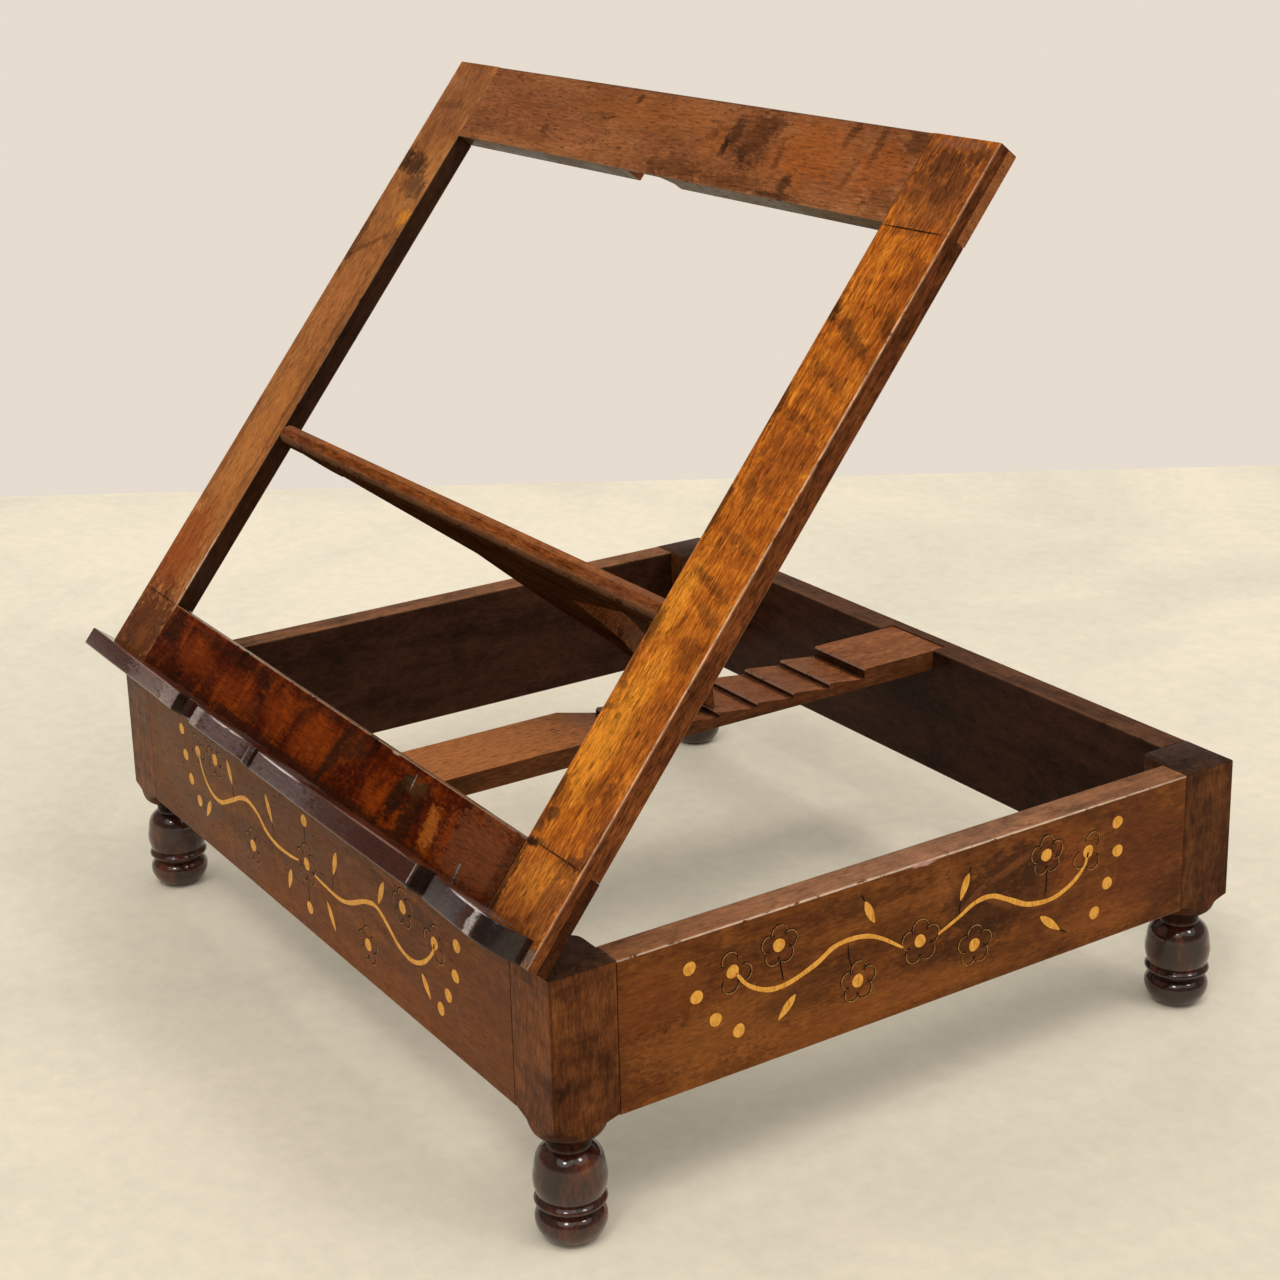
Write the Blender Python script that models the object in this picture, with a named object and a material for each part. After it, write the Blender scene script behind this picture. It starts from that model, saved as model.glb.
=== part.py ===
"""Table lectern: an inlaid walnut base on turned feet, and a reading frame held up by a prop.

The frame is hinged along the top of the front rail. A board pivoted between its stiles
swings down and stands in one of the notches of a rack let into the base. Lengths are in
metres, +X is the reader's right and +Y points away from the reader. The pieces are worked
out about the middle of the base, then set with the origin on the floor under the middle
of the whole lectern, from the front of its ledge to the back of its base.
"""

import math

import bmesh
import bpy
from mathutils import Vector

# Fits shared by all the joints
SEAT_GAP = 0.0003
CUT_OVERRUN = 0.004
ARRIS_ROUND = 0.0008
WELD_DISTANCE = 0.000002
TURNING_STEPS = 32

# Base: four corner posts and four rails, flush outside and on top
BASE_WIDTH = 0.430
BASE_DEPTH = 0.364
BASE_TOP = 0.122
RAIL_HEIGHT = 0.067
RAIL_THICKNESS = 0.015
POST_SIDE = 0.030
POST_INNER_ROUND = 0.006
POST_OUTER_ROUND = 0.0012
TENON_LENGTH = 0.012
TENON_THICKNESS = 0.007
TENON_SHOULDER = 0.009

# Turned foot, from the floor up
FOOT_PAD_RADIUS = 0.0078
FOOT_BALL_HEIGHT = 0.0105
FOOT_BALL_SWELL = 0.0038
FOOT_GROOVE_RADIUS = 0.0118
FOOT_GROOVE_WIDTH = 0.0007
FOOT_RING_RADIUS = 0.0132
FOOT_RING_HEIGHT = 0.0062
FOOT_RING_SWELL = 0.0009
FOOT_BULB_BOTTOM_RADIUS = 0.0133
FOOT_BULB_RADIUS = 0.0145
FOOT_BULB_HEIGHT = 0.0234
FOOT_NECK_RADIUS = 0.0090
FOOT_OVOLO_FOOT_RADIUS = 0.0097
FOOT_OVOLO_RISE = 0.0056
FOOT_OVOLO_SWELL = 0.0011
FOOT_OVOLO_RADIUS = 0.0145
FOOT_SHOULDER_RADIUS = 0.0210
FOOT_SHOULDER_TOP = 0.0552
FOOT_SHOULDER_RISE = 0.0038
FOOT_STEP_RISE = 0.0005
FOOT_BLANK_RADIUS = 0.0225
FOOT_BULB_TOP_SHARE = 0.58
FOOT_FINE_SWELL = 0.00033
FOOT_BULB_SWELL = 0.0005
FOOT_THROAT_SWELL = 0.0016

# Rack bar across the middle of the base, with its notches
RACK_WIDTH = 0.042
RACK_THICKNESS = 0.010
RACK_DROP = 0.0006
RACK_HOUSING = 0.008
RACK_FIRST_RISER_Y = 0.122
RACK_PITCH = 0.02255
RACK_NOTCHES = 7
RACK_TIP_DROP = 0.0033
RACK_TOOTH_DEPTH = 0.0026
RACK_TOOTH_ROUND = 0.0009

# Reading frame: stiles and rails halved together at the corners
FRAME_TILT = math.radians(51.8)
FRAME_THICKNESS = 0.010
STILE_WIDTH = 0.0405
TOP_RAIL_WIDTH = 0.0420
BOTTOM_RAIL_WIDTH = 0.0407
FRAME_ARRIS = 0.0006

# Ledge that stops the book, nailed on the foot of the frame
LEDGE_INSET = 0.005
LEDGE_HEIGHT = 0.0105
LEDGE_DEPTH = 0.0205
LEDGE_LEAN = math.radians(5.0)
PIN_RADIUS = 0.0006
PIN_LENGTH = 0.016
PIN_SHOWN = 0.008
PIN_LEAN = math.radians(8.0)

# Outline of the ledge: (share of its length, share of its depth) where each curve ends,
# then the swell of that curve as a share of the depth
LEDGE_OUTLINE_SHARES = (
    (0.000, 0.93, 0.00),
    (0.123, 0.94, 0.06),
    (0.125, 0.62, 0.00),
    (0.268, 1.00, -0.07),
    (0.270, 0.76, 0.00),
    (0.306, 0.66, 0.10),
    (0.314, 0.40, -0.03),
    (0.350, 0.72, 0.00),
    (0.444, 0.74, 0.12),
    (0.447, 0.56, 0.00),
    (0.479, 0.62, 0.00),
    (0.482, 0.90, 0.00),
    (0.845, 0.76, 0.16),
    (0.847, 0.50, 0.00),
    (0.868, 0.56, 0.00),
    (0.870, 0.90, 0.00),
    (0.968, 0.88, 0.07),
    (1.000, 0.52, 0.16),
)
LEDGE_PIN_SHARE = 0.871
LEDGE_PIN_DEPTH_SHARE = 0.30

# Butt hinges let into the front rail and the frame
HINGE_LENGTH = 0.032
HINGE_INSET = 0.075
HINGE_RISE = 0.0012
HINGE_FORWARD = 0.0008
HINGE_BACKSET = 0.0008
KNUCKLE_RADIUS = 0.0020
HINGE_PIN_RADIUS = 0.0009
LEAF_THICKNESS = 0.0009
LEAF_WIDTH = 0.0115
KNUCKLE_MIDDLE_SHARE = 0.36
SCREW_HEAD_RADIUS = 0.0019
SCREW_SHANK_RADIUS = 0.0008
SCREW_LENGTH = 0.0062
SCREW_SPREAD_SHARE = 0.30
SCREW_REACH_SHARE = 0.62

# Prop: a board pivoted between the stiles, its foot in the fifth notch
PROP_PIVOT_UP_FRAME = 0.1438
PROP_THICKNESS = 0.010
PROP_SIDE_GAP = 0.0005
PROP_END_DEPTH = 0.0050
PROP_NOSE_STEPS = 5
PROP_NOTCH = 4
PROP_FOOT_CLEARANCE = 0.0003
PROP_TIP_FLAT = 0.0016
PROP_PIN_RADIUS = 0.0015
PROP_PIN_LENGTH = 0.024
PROP_PIN_IN_STILE = 0.012

# Half outline of the prop below its nose: (share of the half width, share of the reach)
# where each curve ends, then the swell of that curve as a share of the half width
PROP_OUTLINE_SHARES = (
    (0.920, 0.030, 0.000),
    (0.768, 0.096, 0.020),
    (0.752, 0.082, 0.000),
    (0.250, 0.285, 0.000),
    (0.167, 0.562, 0.014),
    (0.058, 0.784, -0.027),
    (0.092, 1.000, -0.004),
)

# Finger scoop behind the inner edge of the top rail, for lifting out the folded prop
SCOOP_LEFT = 0.0143
SCOOP_FLAT_LENGTH = 0.0195
SCOOP_RUNOUT = 0.0165
SCOOP_DEPTH = 0.0050
SCOOP_LIP = 0.0003
SCOOP_HEEL_SHARE = 0.30

# Run-out of the scoop: (share of the run-out, share of the depth)
SCOOP_RUNOUT_SHARES = (
    (0.00, 1.00),
    (0.10, 0.90),
    (0.45, 0.46),
    (0.72, 0.16),
    (0.90, 0.03),
    (1.00, -0.03),
)

# Places worked out from the sizes above
RAIL_BOTTOM = BASE_TOP - RAIL_HEIGHT
HINGE_Y = -BASE_DEPTH / 2 - HINGE_FORWARD
HINGE_Z = BASE_TOP + HINGE_RISE
FRAME_WIDTH = BASE_WIDTH
FRAME_LENGTH = BASE_DEPTH
FRAME_BACK = HINGE_BACKSET
FRAME_FACE = HINGE_BACKSET + FRAME_THICKNESS
FRAME_MIDDLE = HINGE_BACKSET + FRAME_THICKNESS / 2
WINDOW_HALF = FRAME_WIDTH / 2 - STILE_WIDTH
WINDOW_TOP = FRAME_LENGTH - TOP_RAIL_WIDTH
RACK_TOP = BASE_TOP - RACK_DROP
RACK_TIP = BASE_TOP - RACK_TIP_DROP
RACK_ROOT = RACK_TIP - RACK_TOOTH_DEPTH
RACK_BOTTOM = RACK_TOP - RACK_THICKNESS
HINGE_X = FRAME_WIDTH / 2 - HINGE_INSET
LEDGE_FRONT_Y = (HINGE_Y + LEDGE_DEPTH * math.tan(LEDGE_LEAN) * math.cos(FRAME_TILT)
                 - (FRAME_FACE + SEAT_GAP + LEDGE_DEPTH) * math.sin(FRAME_TILT))
SET_BACK = -(BASE_DEPTH / 2 + LEDGE_FRONT_Y) / 2


def riser_y(number):
    """Distance back to a riser of the rack, counted from the rearmost."""
    return RACK_FIRST_RISER_Y - number * RACK_PITCH


def prop_setting():
    """Reach of the prop from its pivot, and how far it leans below the level.

    The lower corner of the foot lies half a thickness below the middle line of the board,
    so the reach is the third side of the triangle from the pivot to that corner.
    """
    pivot_y = (HINGE_Y + PROP_PIVOT_UP_FRAME * math.cos(FRAME_TILT)
               - FRAME_MIDDLE * math.sin(FRAME_TILT))
    pivot_z = (HINGE_Z + PROP_PIVOT_UP_FRAME * math.sin(FRAME_TILT)
               + FRAME_MIDDLE * math.cos(FRAME_TILT))
    corner_y = riser_y(PROP_NOTCH) - SEAT_GAP
    corner_z = RACK_TIP + PROP_FOOT_CLEARANCE
    away = corner_y - pivot_y
    down = pivot_z - corner_z
    distance = math.hypot(away, down)
    reach = math.sqrt(distance ** 2 - (PROP_THICKNESS / 2) ** 2)
    lean = math.atan2(down, away) - math.asin(PROP_THICKNESS / 2 / distance)
    return reach, lean


PROP_REACH, PROP_LEAN = prop_setting()

WOODS = {
    "walnut_post": ((0.110, 0.052, 0.026, 1.0), 0.30, 0.0),
    "walnut_rail": ((0.130, 0.062, 0.030, 1.0), 0.32, 0.0),
    "walnut_rack": ((0.170, 0.082, 0.048, 1.0), 0.40, 0.0),
    "amber_stile": ((0.330, 0.140, 0.032, 1.0), 0.28, 0.0),
    "red_rail": ((0.180, 0.062, 0.022, 1.0), 0.30, 0.0),
    "dark_ledge": ((0.060, 0.024, 0.020, 1.0), 0.20, 0.0),
    "prop_walnut": ((0.240, 0.100, 0.045, 1.0), 0.38, 0.0),
    "brass": ((0.480, 0.340, 0.120, 1.0), 0.38, 1.0),
    "steel": ((0.420, 0.410, 0.400, 1.0), 0.35, 1.0),
}


def finish_material(name):
    """A Principled surface for one kind of wood or metal."""
    colour, roughness, metallic = WOODS[name]
    material = bpy.data.materials.new(name)
    material.use_nodes = True
    shader = material.node_tree.nodes["Principled BSDF"]
    shader.inputs["Base Color"].default_value = colour
    shader.inputs["Roughness"].default_value = roughness
    shader.inputs["Metallic"].default_value = metallic
    material.diffuse_color = colour
    return material


def place(name, bm, material, parent=None, smooth=False):
    """Turn a finished bmesh into a named object with faces pointing out."""
    bmesh.ops.recalc_face_normals(bm, faces=bm.faces)
    mesh = bpy.data.meshes.new(name)
    bm.to_mesh(mesh)
    bm.free()
    if smooth:
        mesh.shade_smooth()
        mesh.set_sharp_from_angle(angle=math.radians(35.0))
    mesh.materials.append(finish_material(material))
    thing = bpy.data.objects.new(name, mesh)
    bpy.context.scene.collection.objects.link(thing)
    thing.parent = parent
    return thing


def pivot_empty(name, position, angle, parent=None):
    """An empty on a hinge line along X, turned by the angle at rest."""
    empty = bpy.data.objects.new(name, None)
    bpy.context.scene.collection.objects.link(empty)
    empty.parent = parent
    empty.location = position
    empty.rotation_euler = (angle, 0, 0)
    return empty


def as_cutter(thing):
    """Mark a shape as a cutter, so that it shows as wire only."""
    thing.hide_render = True
    thing.display_type = "WIRE"
    return thing


def apply_boolean(thing, other, operation):
    """Add a live Boolean of another shape to a piece."""
    modifier = thing.modifiers.new(operation.title() + "_" + other.name, "BOOLEAN")
    modifier.operation = operation
    modifier.solver = "EXACT"
    modifier.object = other
    as_cutter(other)


def loft(bm, loops):
    """Skin a closed body over loops of equal count, with its two ends filled."""
    rings = [[bm.verts.new(point) for point in loop] for loop in loops]
    for below, above in zip(rings[:-1], rings[1:]):
        for index in range(len(below)):
            after = (index + 1) % len(below)
            bm.faces.new((below[index], below[after], above[after], above[index]))
    bm.faces.new(rings[0])
    bm.faces.new(rings[-1])
    return rings


def extrude_outline(bm, outline, axis, low, high):
    """Extrude a flat outline along an axis, 0 for X, 1 for Y and 2 for Z."""
    loops = []
    for level in (low, high):
        loop = []
        for first, second in outline:
            point = [first, second]
            point.insert(axis, level)
            loop.append(point)
        loops.append(loop)
    return loft(bm, loops)


def bar_loops(axis, stations):
    """Rectangles along an axis: (place, low and high of one side, low and high of the other)."""
    loops = []
    for along, (low_a, high_a), (low_b, high_b) in stations:
        loop = []
        for corner in ((low_a, low_b), (high_a, low_b), (high_a, high_b), (low_a, high_b)):
            point = list(corner)
            point.insert(axis, along)
            loop.append(point)
        loops.append(loop)
    return loops


def round_long_arrises(bm, rings, first, last, radius=ARRIS_ROUND, corners=(0, 1, 2, 3)):
    """Round the long arrises between two stations of a bar."""
    edges = [bm.edges.get((rings[first][corner], rings[last][corner])) for corner in corners]
    bmesh.ops.bevel(bm, geom=edges, offset=radius, segments=2, profile=0.5, affect="EDGES")


def swell_curve(start, end, swell, steps):
    """Points after the start up to the end, bowed sideways by half a sine wave."""
    first = Vector(start)
    last = Vector(end)
    along = last - first
    side = Vector((along.y, -along.x)).normalized()
    points = []
    for step in range(1, steps + 1):
        share = step / steps
        points.append(first + along * share + side * swell * math.sin(math.pi * share))
    return points


def lathe(bm, profile, centre=(0, 0)):
    """Turn a profile of (radius, height) about a vertical line through the centre."""
    places = [bm.verts.new((radius, 0, height)) for radius, height in profile]
    edges = [bm.edges.new(pair) for pair in zip(places[:-1], places[1:])]
    bmesh.ops.spin(bm, geom=places + edges, cent=(0, 0, 0), axis=(0, 0, 1),
                   angle=math.tau, steps=TURNING_STEPS, use_merge=True)
    bmesh.ops.remove_doubles(bm, verts=bm.verts, dist=WELD_DISTANCE)
    bmesh.ops.translate(bm, verts=bm.verts, vec=(centre[0], centre[1], 0))


def rod(bm, radius, low, high, centre, steps=16):
    """A round rod along X about a point (y, z)."""
    outline = []
    for step in range(steps):
        angle = math.tau * step / steps
        outline.append((centre[0] + radius * math.cos(angle),
                        centre[1] + radius * math.sin(angle)))
    return extrude_outline(bm, outline, 0, low, high)


def foot_profile():
    """Half section of a turned foot and the blank above it, from the floor up."""
    groove_z = FOOT_BALL_HEIGHT
    ring_z = groove_z + FOOT_GROOVE_WIDTH
    bulb_z = ring_z + FOOT_RING_HEIGHT
    bulb_top = bulb_z + FOOT_BULB_HEIGHT * FOOT_BULB_TOP_SHARE
    neck_z = bulb_z + FOOT_BULB_HEIGHT
    ovolo_z = FOOT_SHOULDER_TOP - FOOT_SHOULDER_RISE
    ovolo_foot_z = ovolo_z - FOOT_OVOLO_RISE
    profile = [Vector((0, 0)), Vector((FOOT_PAD_RADIUS, 0))]
    curves = (
        ((FOOT_GROOVE_RADIUS, groove_z), FOOT_BALL_SWELL, 7),
        ((FOOT_GROOVE_RADIUS, ring_z), 0, 1),
        ((FOOT_RING_RADIUS, ring_z + FOOT_GROOVE_WIDTH), 0, 1),
        ((FOOT_BULB_BOTTOM_RADIUS, bulb_z), FOOT_RING_SWELL, 5),
        ((FOOT_BULB_RADIUS, bulb_top), FOOT_BULB_SWELL, 5),
        ((FOOT_NECK_RADIUS, neck_z), FOOT_THROAT_SWELL, 6),
        ((FOOT_OVOLO_FOOT_RADIUS, ovolo_foot_z), -FOOT_FINE_SWELL, 3),
        ((FOOT_OVOLO_RADIUS, ovolo_z), FOOT_OVOLO_SWELL, 5),
        ((FOOT_SHOULDER_RADIUS, FOOT_SHOULDER_TOP), 0, 1),
        ((FOOT_BLANK_RADIUS, FOOT_SHOULDER_TOP + FOOT_STEP_RISE), 0, 1),
        ((FOOT_BLANK_RADIUS, BASE_TOP + CUT_OVERRUN), 0, 1),
        ((0, BASE_TOP + CUT_OVERRUN), 0, 1),
    )
    for end, swell, steps in curves:
        profile.extend(swell_curve(profile[-1], end, swell, steps))
    return [(point.x, point.y) for point in profile]


def rounded_square(side, radii, steps=4):
    """Outline of a square with a radius for each corner, anticlockwise from -X -Y."""
    half = side / 2
    signs = ((-1, -1), (1, -1), (1, 1), (-1, 1))
    outline = []
    for quarter, ((sign_x, sign_y), radius) in enumerate(zip(signs, radii)):
        centre = Vector((sign_x * (half - radius), sign_y * (half - radius)))
        for step in range(steps + 1):
            angle = math.pi + (quarter + step / steps) * math.pi / 2
            outline.append(centre + Vector((math.cos(angle), math.sin(angle))) * radius)
    return [(point.x, point.y) for point in outline]


def build_post(name, sign_x, sign_y):
    """A corner post and its turned foot, from one square billet."""
    centre_x = sign_x * (BASE_WIDTH - POST_SIDE) / 2
    centre_y = sign_y * (BASE_DEPTH - POST_SIDE) / 2
    radii = []
    for corner_x, corner_y in ((-1, -1), (1, -1), (1, 1), (-1, 1)):
        if (corner_x, corner_y) == (sign_x, sign_y):
            radii.append(POST_OUTER_ROUND)
        elif (corner_x, corner_y) == (-sign_x, -sign_y):
            radii.append(POST_INNER_ROUND)
        else:
            radii.append(SEAT_GAP)
    outline = [(centre_x + x, centre_y + y) for x, y in rounded_square(POST_SIDE, radii)]
    billet = bmesh.new()
    extrude_outline(billet, outline, 2, 0, BASE_TOP)
    post = place(name, billet, "walnut_post", smooth=True)
    turning = bmesh.new()
    lathe(turning, foot_profile(), (centre_x, centre_y))
    apply_boolean(post, place(name + "_turning", turning, "walnut_post", smooth=True), "INTERSECT")
    mortises = bmesh.new()
    middle_z = BASE_TOP - RAIL_HEIGHT / 2
    half_z = RAIL_HEIGHT / 2 - TENON_SHOULDER + SEAT_GAP
    half_t = TENON_THICKNESS / 2 + SEAT_GAP
    for axis, sign, size, other_sign, other_size in (
            (0, sign_x, BASE_WIDTH, sign_y, BASE_DEPTH),
            (1, sign_y, BASE_DEPTH, sign_x, BASE_WIDTH)):
        bottom = sign * (size / 2 - POST_SIDE + TENON_LENGTH + SEAT_GAP)
        mouth = sign * (size / 2 - POST_SIDE - CUT_OVERRUN)
        across = other_sign * (other_size - RAIL_THICKNESS) / 2
        sides = ((across - half_t, across + half_t), (middle_z - half_z, middle_z + half_z))
        loft(mortises, bar_loops(axis, ((bottom, *sides), (mouth, *sides))))
    apply_boolean(post, place(name + "_mortises", mortises, "walnut_post"), "DIFFERENCE")
    return post


def build_rail(name, axis, sign):
    """A rail of the base with a stub tenon at each end, shouldered against the posts."""
    length = (BASE_WIDTH, BASE_DEPTH)[axis] / 2 - POST_SIDE - SEAT_GAP
    middle = sign * ((BASE_DEPTH, BASE_WIDTH)[axis] - RAIL_THICKNESS) / 2
    body = ((middle - RAIL_THICKNESS / 2, middle + RAIL_THICKNESS / 2), (RAIL_BOTTOM, BASE_TOP))
    tenon = ((middle - TENON_THICKNESS / 2, middle + TENON_THICKNESS / 2),
             (RAIL_BOTTOM + TENON_SHOULDER, BASE_TOP - TENON_SHOULDER))
    stations = (
        (-length - TENON_LENGTH, *tenon),
        (-length, *tenon),
        (-length, *body),
        (length, *body),
        (length, *tenon),
        (length + TENON_LENGTH, *tenon),
    )
    bm = bmesh.new()
    rings = loft(bm, bar_loops(axis, stations))
    round_long_arrises(bm, rings, 2, 3)
    return place(name, bm, "walnut_rail", smooth=True)


def rack_outline():
    """Side view of the rack bar, back to front along the top, as (y, z)."""
    end = BASE_DEPTH / 2 - RAIL_THICKNESS + RACK_HOUSING - SEAT_GAP
    outline = [(end, RACK_BOTTOM), (end, RACK_TOP)]
    for number in range(RACK_NOTCHES):
        crest = RACK_TOP if number == 0 else RACK_TIP
        outline.append((riser_y(number) + RACK_TOOTH_ROUND, crest))
        outline.append((riser_y(number), crest - RACK_TOOTH_ROUND))
        outline.append((riser_y(number), RACK_ROOT))
    outline.append((riser_y(RACK_NOTCHES), RACK_TOP))
    outline.append((-end, RACK_TOP))
    outline.append((-end, RACK_BOTTOM))
    return outline


def build_rack():
    """The notched bar, housed in the front and rear rails."""
    bm = bmesh.new()
    extrude_outline(bm, rack_outline(), 0, -RACK_WIDTH / 2, RACK_WIDTH / 2)
    return place("rack_bar", bm, "walnut_rack")


def cut_rack_housing(rail, sign):
    """A stopped housing in the inner face of a rail for the end of the rack bar."""
    inner = sign * (BASE_DEPTH / 2 - RAIL_THICKNESS)
    half = RACK_WIDTH / 2 + SEAT_GAP
    sides = ((-half, half), (RACK_BOTTOM - SEAT_GAP, BASE_TOP + CUT_OVERRUN))
    bm = bmesh.new()
    loft(bm, bar_loops(1, ((inner - sign * CUT_OVERRUN, *sides),
                           (inner + sign * RACK_HOUSING, *sides))))
    apply_boolean(rail, place(rail.name + "_housing", bm, "walnut_rail"), "DIFFERENCE")


def lapped_outline(ends, shoulders, lap_side):
    """Long section of a frame piece, half its thickness cut away outside the shoulders."""
    kept = FRAME_BACK if lap_side < 0 else FRAME_FACE
    cut = FRAME_FACE if lap_side < 0 else FRAME_BACK
    step = FRAME_MIDDLE + lap_side * SEAT_GAP / 2
    return (
        (ends[0], kept), (ends[1], kept), (ends[1], step), (shoulders[1], step),
        (shoulders[1], cut), (shoulders[0], cut), (shoulders[0], step), (ends[0], step),
    )


def ease_frame_arrises(bm, rings):
    """Take the sharpness off the four long arrises of a lapped frame piece."""
    edges = []
    for ring in rings:
        edges.append(bm.edges.get((ring[0], ring[1])))
        edges.append(bm.edges.get((ring[4], ring[5])))
    bmesh.ops.bevel(bm, geom=edges, offset=FRAME_ARRIS, segments=2, profile=0.5, affect="EDGES")


def build_stile(name, sign, frame):
    """A stile of the frame, its front half running through at both corners."""
    sides = sorted((sign * FRAME_WIDTH / 2, sign * WINDOW_HALF))
    shoulders = (BOTTOM_RAIL_WIDTH + SEAT_GAP / 2, WINDOW_TOP - SEAT_GAP / 2)
    bm = bmesh.new()
    rings = extrude_outline(bm, lapped_outline((0, FRAME_LENGTH), shoulders, 1), 0, *sides)
    ease_frame_arrises(bm, rings)
    return place(name, bm, "amber_stile", frame, smooth=True)


def build_frame_rail(name, low, high, frame):
    """A rail of the frame, its back half running through at both corners."""
    half = FRAME_WIDTH / 2
    shoulder = WINDOW_HALF - SEAT_GAP / 2
    bm = bmesh.new()
    outline = lapped_outline((-half, half), (-shoulder, shoulder), -1)
    rings = extrude_outline(bm, outline, 1, low, high)
    ease_frame_arrises(bm, rings)
    return place(name, bm, "red_rail", frame, smooth=True)


def cut_finger_scoop(rail, frame):
    """A sloping scoop behind the inner edge of the top rail, square at its left end."""
    flat_end = SCOOP_FLAT_LENGTH - SCOOP_LEFT
    stations = [(-SCOOP_LEFT, SCOOP_DEPTH)]
    for along_share, depth_share in SCOOP_RUNOUT_SHARES:
        stations.append((flat_end + SCOOP_RUNOUT * along_share, SCOOP_DEPTH * depth_share))
    lip = FRAME_FACE - FRAME_ARRIS - SCOOP_LIP
    heel = FRAME_BACK + FRAME_THICKNESS * SCOOP_HEEL_SHARE
    loops = []
    for along, cut in stations:
        loops.append((
            (along, WINDOW_TOP - CUT_OVERRUN, FRAME_BACK - CUT_OVERRUN),
            (along, WINDOW_TOP - CUT_OVERRUN, lip),
            (along, WINDOW_TOP, lip),
            (along, WINDOW_TOP + cut, heel),
            (along, WINDOW_TOP + cut, FRAME_BACK - CUT_OVERRUN),
        ))
    bm = bmesh.new()
    loft(bm, loops)
    apply_boolean(rail, place("finger_scoop", bm, "red_rail", frame), "DIFFERENCE")


def build_ledge(frame):
    """The scalloped ledge, an outline across the frame extruded up it with a slight lean."""
    length = FRAME_WIDTH - 2 * LEDGE_INSET
    outline = [Vector((-length / 2, 0))]
    for along_share, depth_share, swell_share in LEDGE_OUTLINE_SHARES:
        end = (length * (along_share - 0.5), LEDGE_DEPTH * depth_share)
        steps = 1 if swell_share == 0 else 8
        outline.extend(swell_curve(outline[-1], end, -LEDGE_DEPTH * swell_share, steps))
    outline.append(Vector((length / 2, 0)))
    back = FRAME_FACE + SEAT_GAP
    loops = []
    for level in (0, LEDGE_HEIGHT):
        loops.append([(point.x, level + point.y * math.tan(LEDGE_LEAN), back + point.y)
                      for point in outline])
    bm = bmesh.new()
    loft(bm, loops)
    return place("book_ledge", bm, "dark_ledge", frame, smooth=True)


def ledge_pin_loops(radius, low, high):
    """Octagons along the leaning pin, measured from the top of the ledge."""
    length = FRAME_WIDTH - 2 * LEDGE_INSET
    forward = LEDGE_DEPTH * LEDGE_PIN_DEPTH_SHARE
    foot = Vector((length * (LEDGE_PIN_SHARE - 0.5),
                   LEDGE_HEIGHT + forward * math.tan(LEDGE_LEAN),
                   FRAME_FACE + SEAT_GAP + forward))
    up = Vector((0, math.cos(PIN_LEAN), math.sin(PIN_LEAN)))
    side = Vector((0, -math.sin(PIN_LEAN), math.cos(PIN_LEAN)))
    loops = []
    for level in (low, high):
        loop = []
        for step in range(8):
            angle = math.tau * step / 8
            across = Vector((math.cos(angle), 0, 0)) + side * math.sin(angle)
            loop.append(foot + up * level + across * radius)
        loops.append(loop)
    return loops


def build_ledge_pin(ledge, frame):
    """The fine steel pin that stands in the top of the ledge to hold a page."""
    bm = bmesh.new()
    loft(bm, ledge_pin_loops(PIN_RADIUS, PIN_SHOWN - PIN_LENGTH, PIN_SHOWN))
    pin = place("page_pin", bm, "steel", frame, smooth=True)
    hole = bmesh.new()
    loft(hole, ledge_pin_loops(PIN_RADIUS + SEAT_GAP, PIN_SHOWN - PIN_LENGTH - SEAT_GAP, PIN_SHOWN))
    apply_boolean(ledge, place("page_pin_hole", hole, "steel", frame), "DIFFERENCE")
    return pin


def prop_outline():
    """Full outline of the prop as (x, distance from the pivot line)."""
    half = WINDOW_HALF - PROP_SIDE_GAP
    right = [Vector((half, PROP_END_DEPTH))]
    for width_share, reach_share, swell_share in PROP_OUTLINE_SHARES:
        end = (half * width_share, PROP_REACH * reach_share)
        steps = 1 if swell_share == 0 else 6
        right.extend(swell_curve(right[-1], end, half * swell_share, steps))
    top = [Vector((half, -PROP_THICKNESS / 2))]
    half_outline = top + right
    left = [Vector((-point.x, point.y)) for point in reversed(half_outline)]
    return [(point.x, point.y) for point in half_outline + left]


def build_prop(pivot):
    """The prop board: round along the pivoted edge, cut to stand against a riser."""
    bm = bmesh.new()
    rings = extrude_outline(bm, prop_outline(), 2, -PROP_THICKNESS / 2, PROP_THICKNESS / 2)
    nose = [bm.edges.get((ring[0], ring[-1])) for ring in rings]
    bmesh.ops.bevel(bm, geom=nose, offset=PROP_THICKNESS / 2 - SEAT_GAP / 2,
                    segments=PROP_NOSE_STEPS, profile=0.5, affect="EDGES")
    prop = place("prop_board", bm, "prop_walnut", pivot, smooth=True)
    cut_prop_foot(prop, pivot)
    cut_pin_holes(prop, pivot)
    return prop


def cut_prop_foot(prop, pivot):
    """Bevel the end of the prop, so that its face is upright against the riser at rest."""
    low = -PROP_THICKNESS / 2
    slope = math.tan(PROP_LEAN)
    top = PROP_THICKNESS / 2 + CUT_OVERRUN
    outline = (
        (PROP_REACH, low + PROP_TIP_FLAT * slope),
        (PROP_REACH - (top - low - PROP_TIP_FLAT * slope) * slope, top),
        (PROP_REACH + CUT_OVERRUN, top),
        (PROP_REACH + CUT_OVERRUN, low + PROP_TIP_FLAT * slope),
    )
    bm = bmesh.new()
    extrude_outline(bm, outline, 0, -WINDOW_HALF, WINDOW_HALF)
    apply_boolean(prop, place("prop_foot_cutter", bm, "prop_walnut", pivot), "DIFFERENCE")


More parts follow.
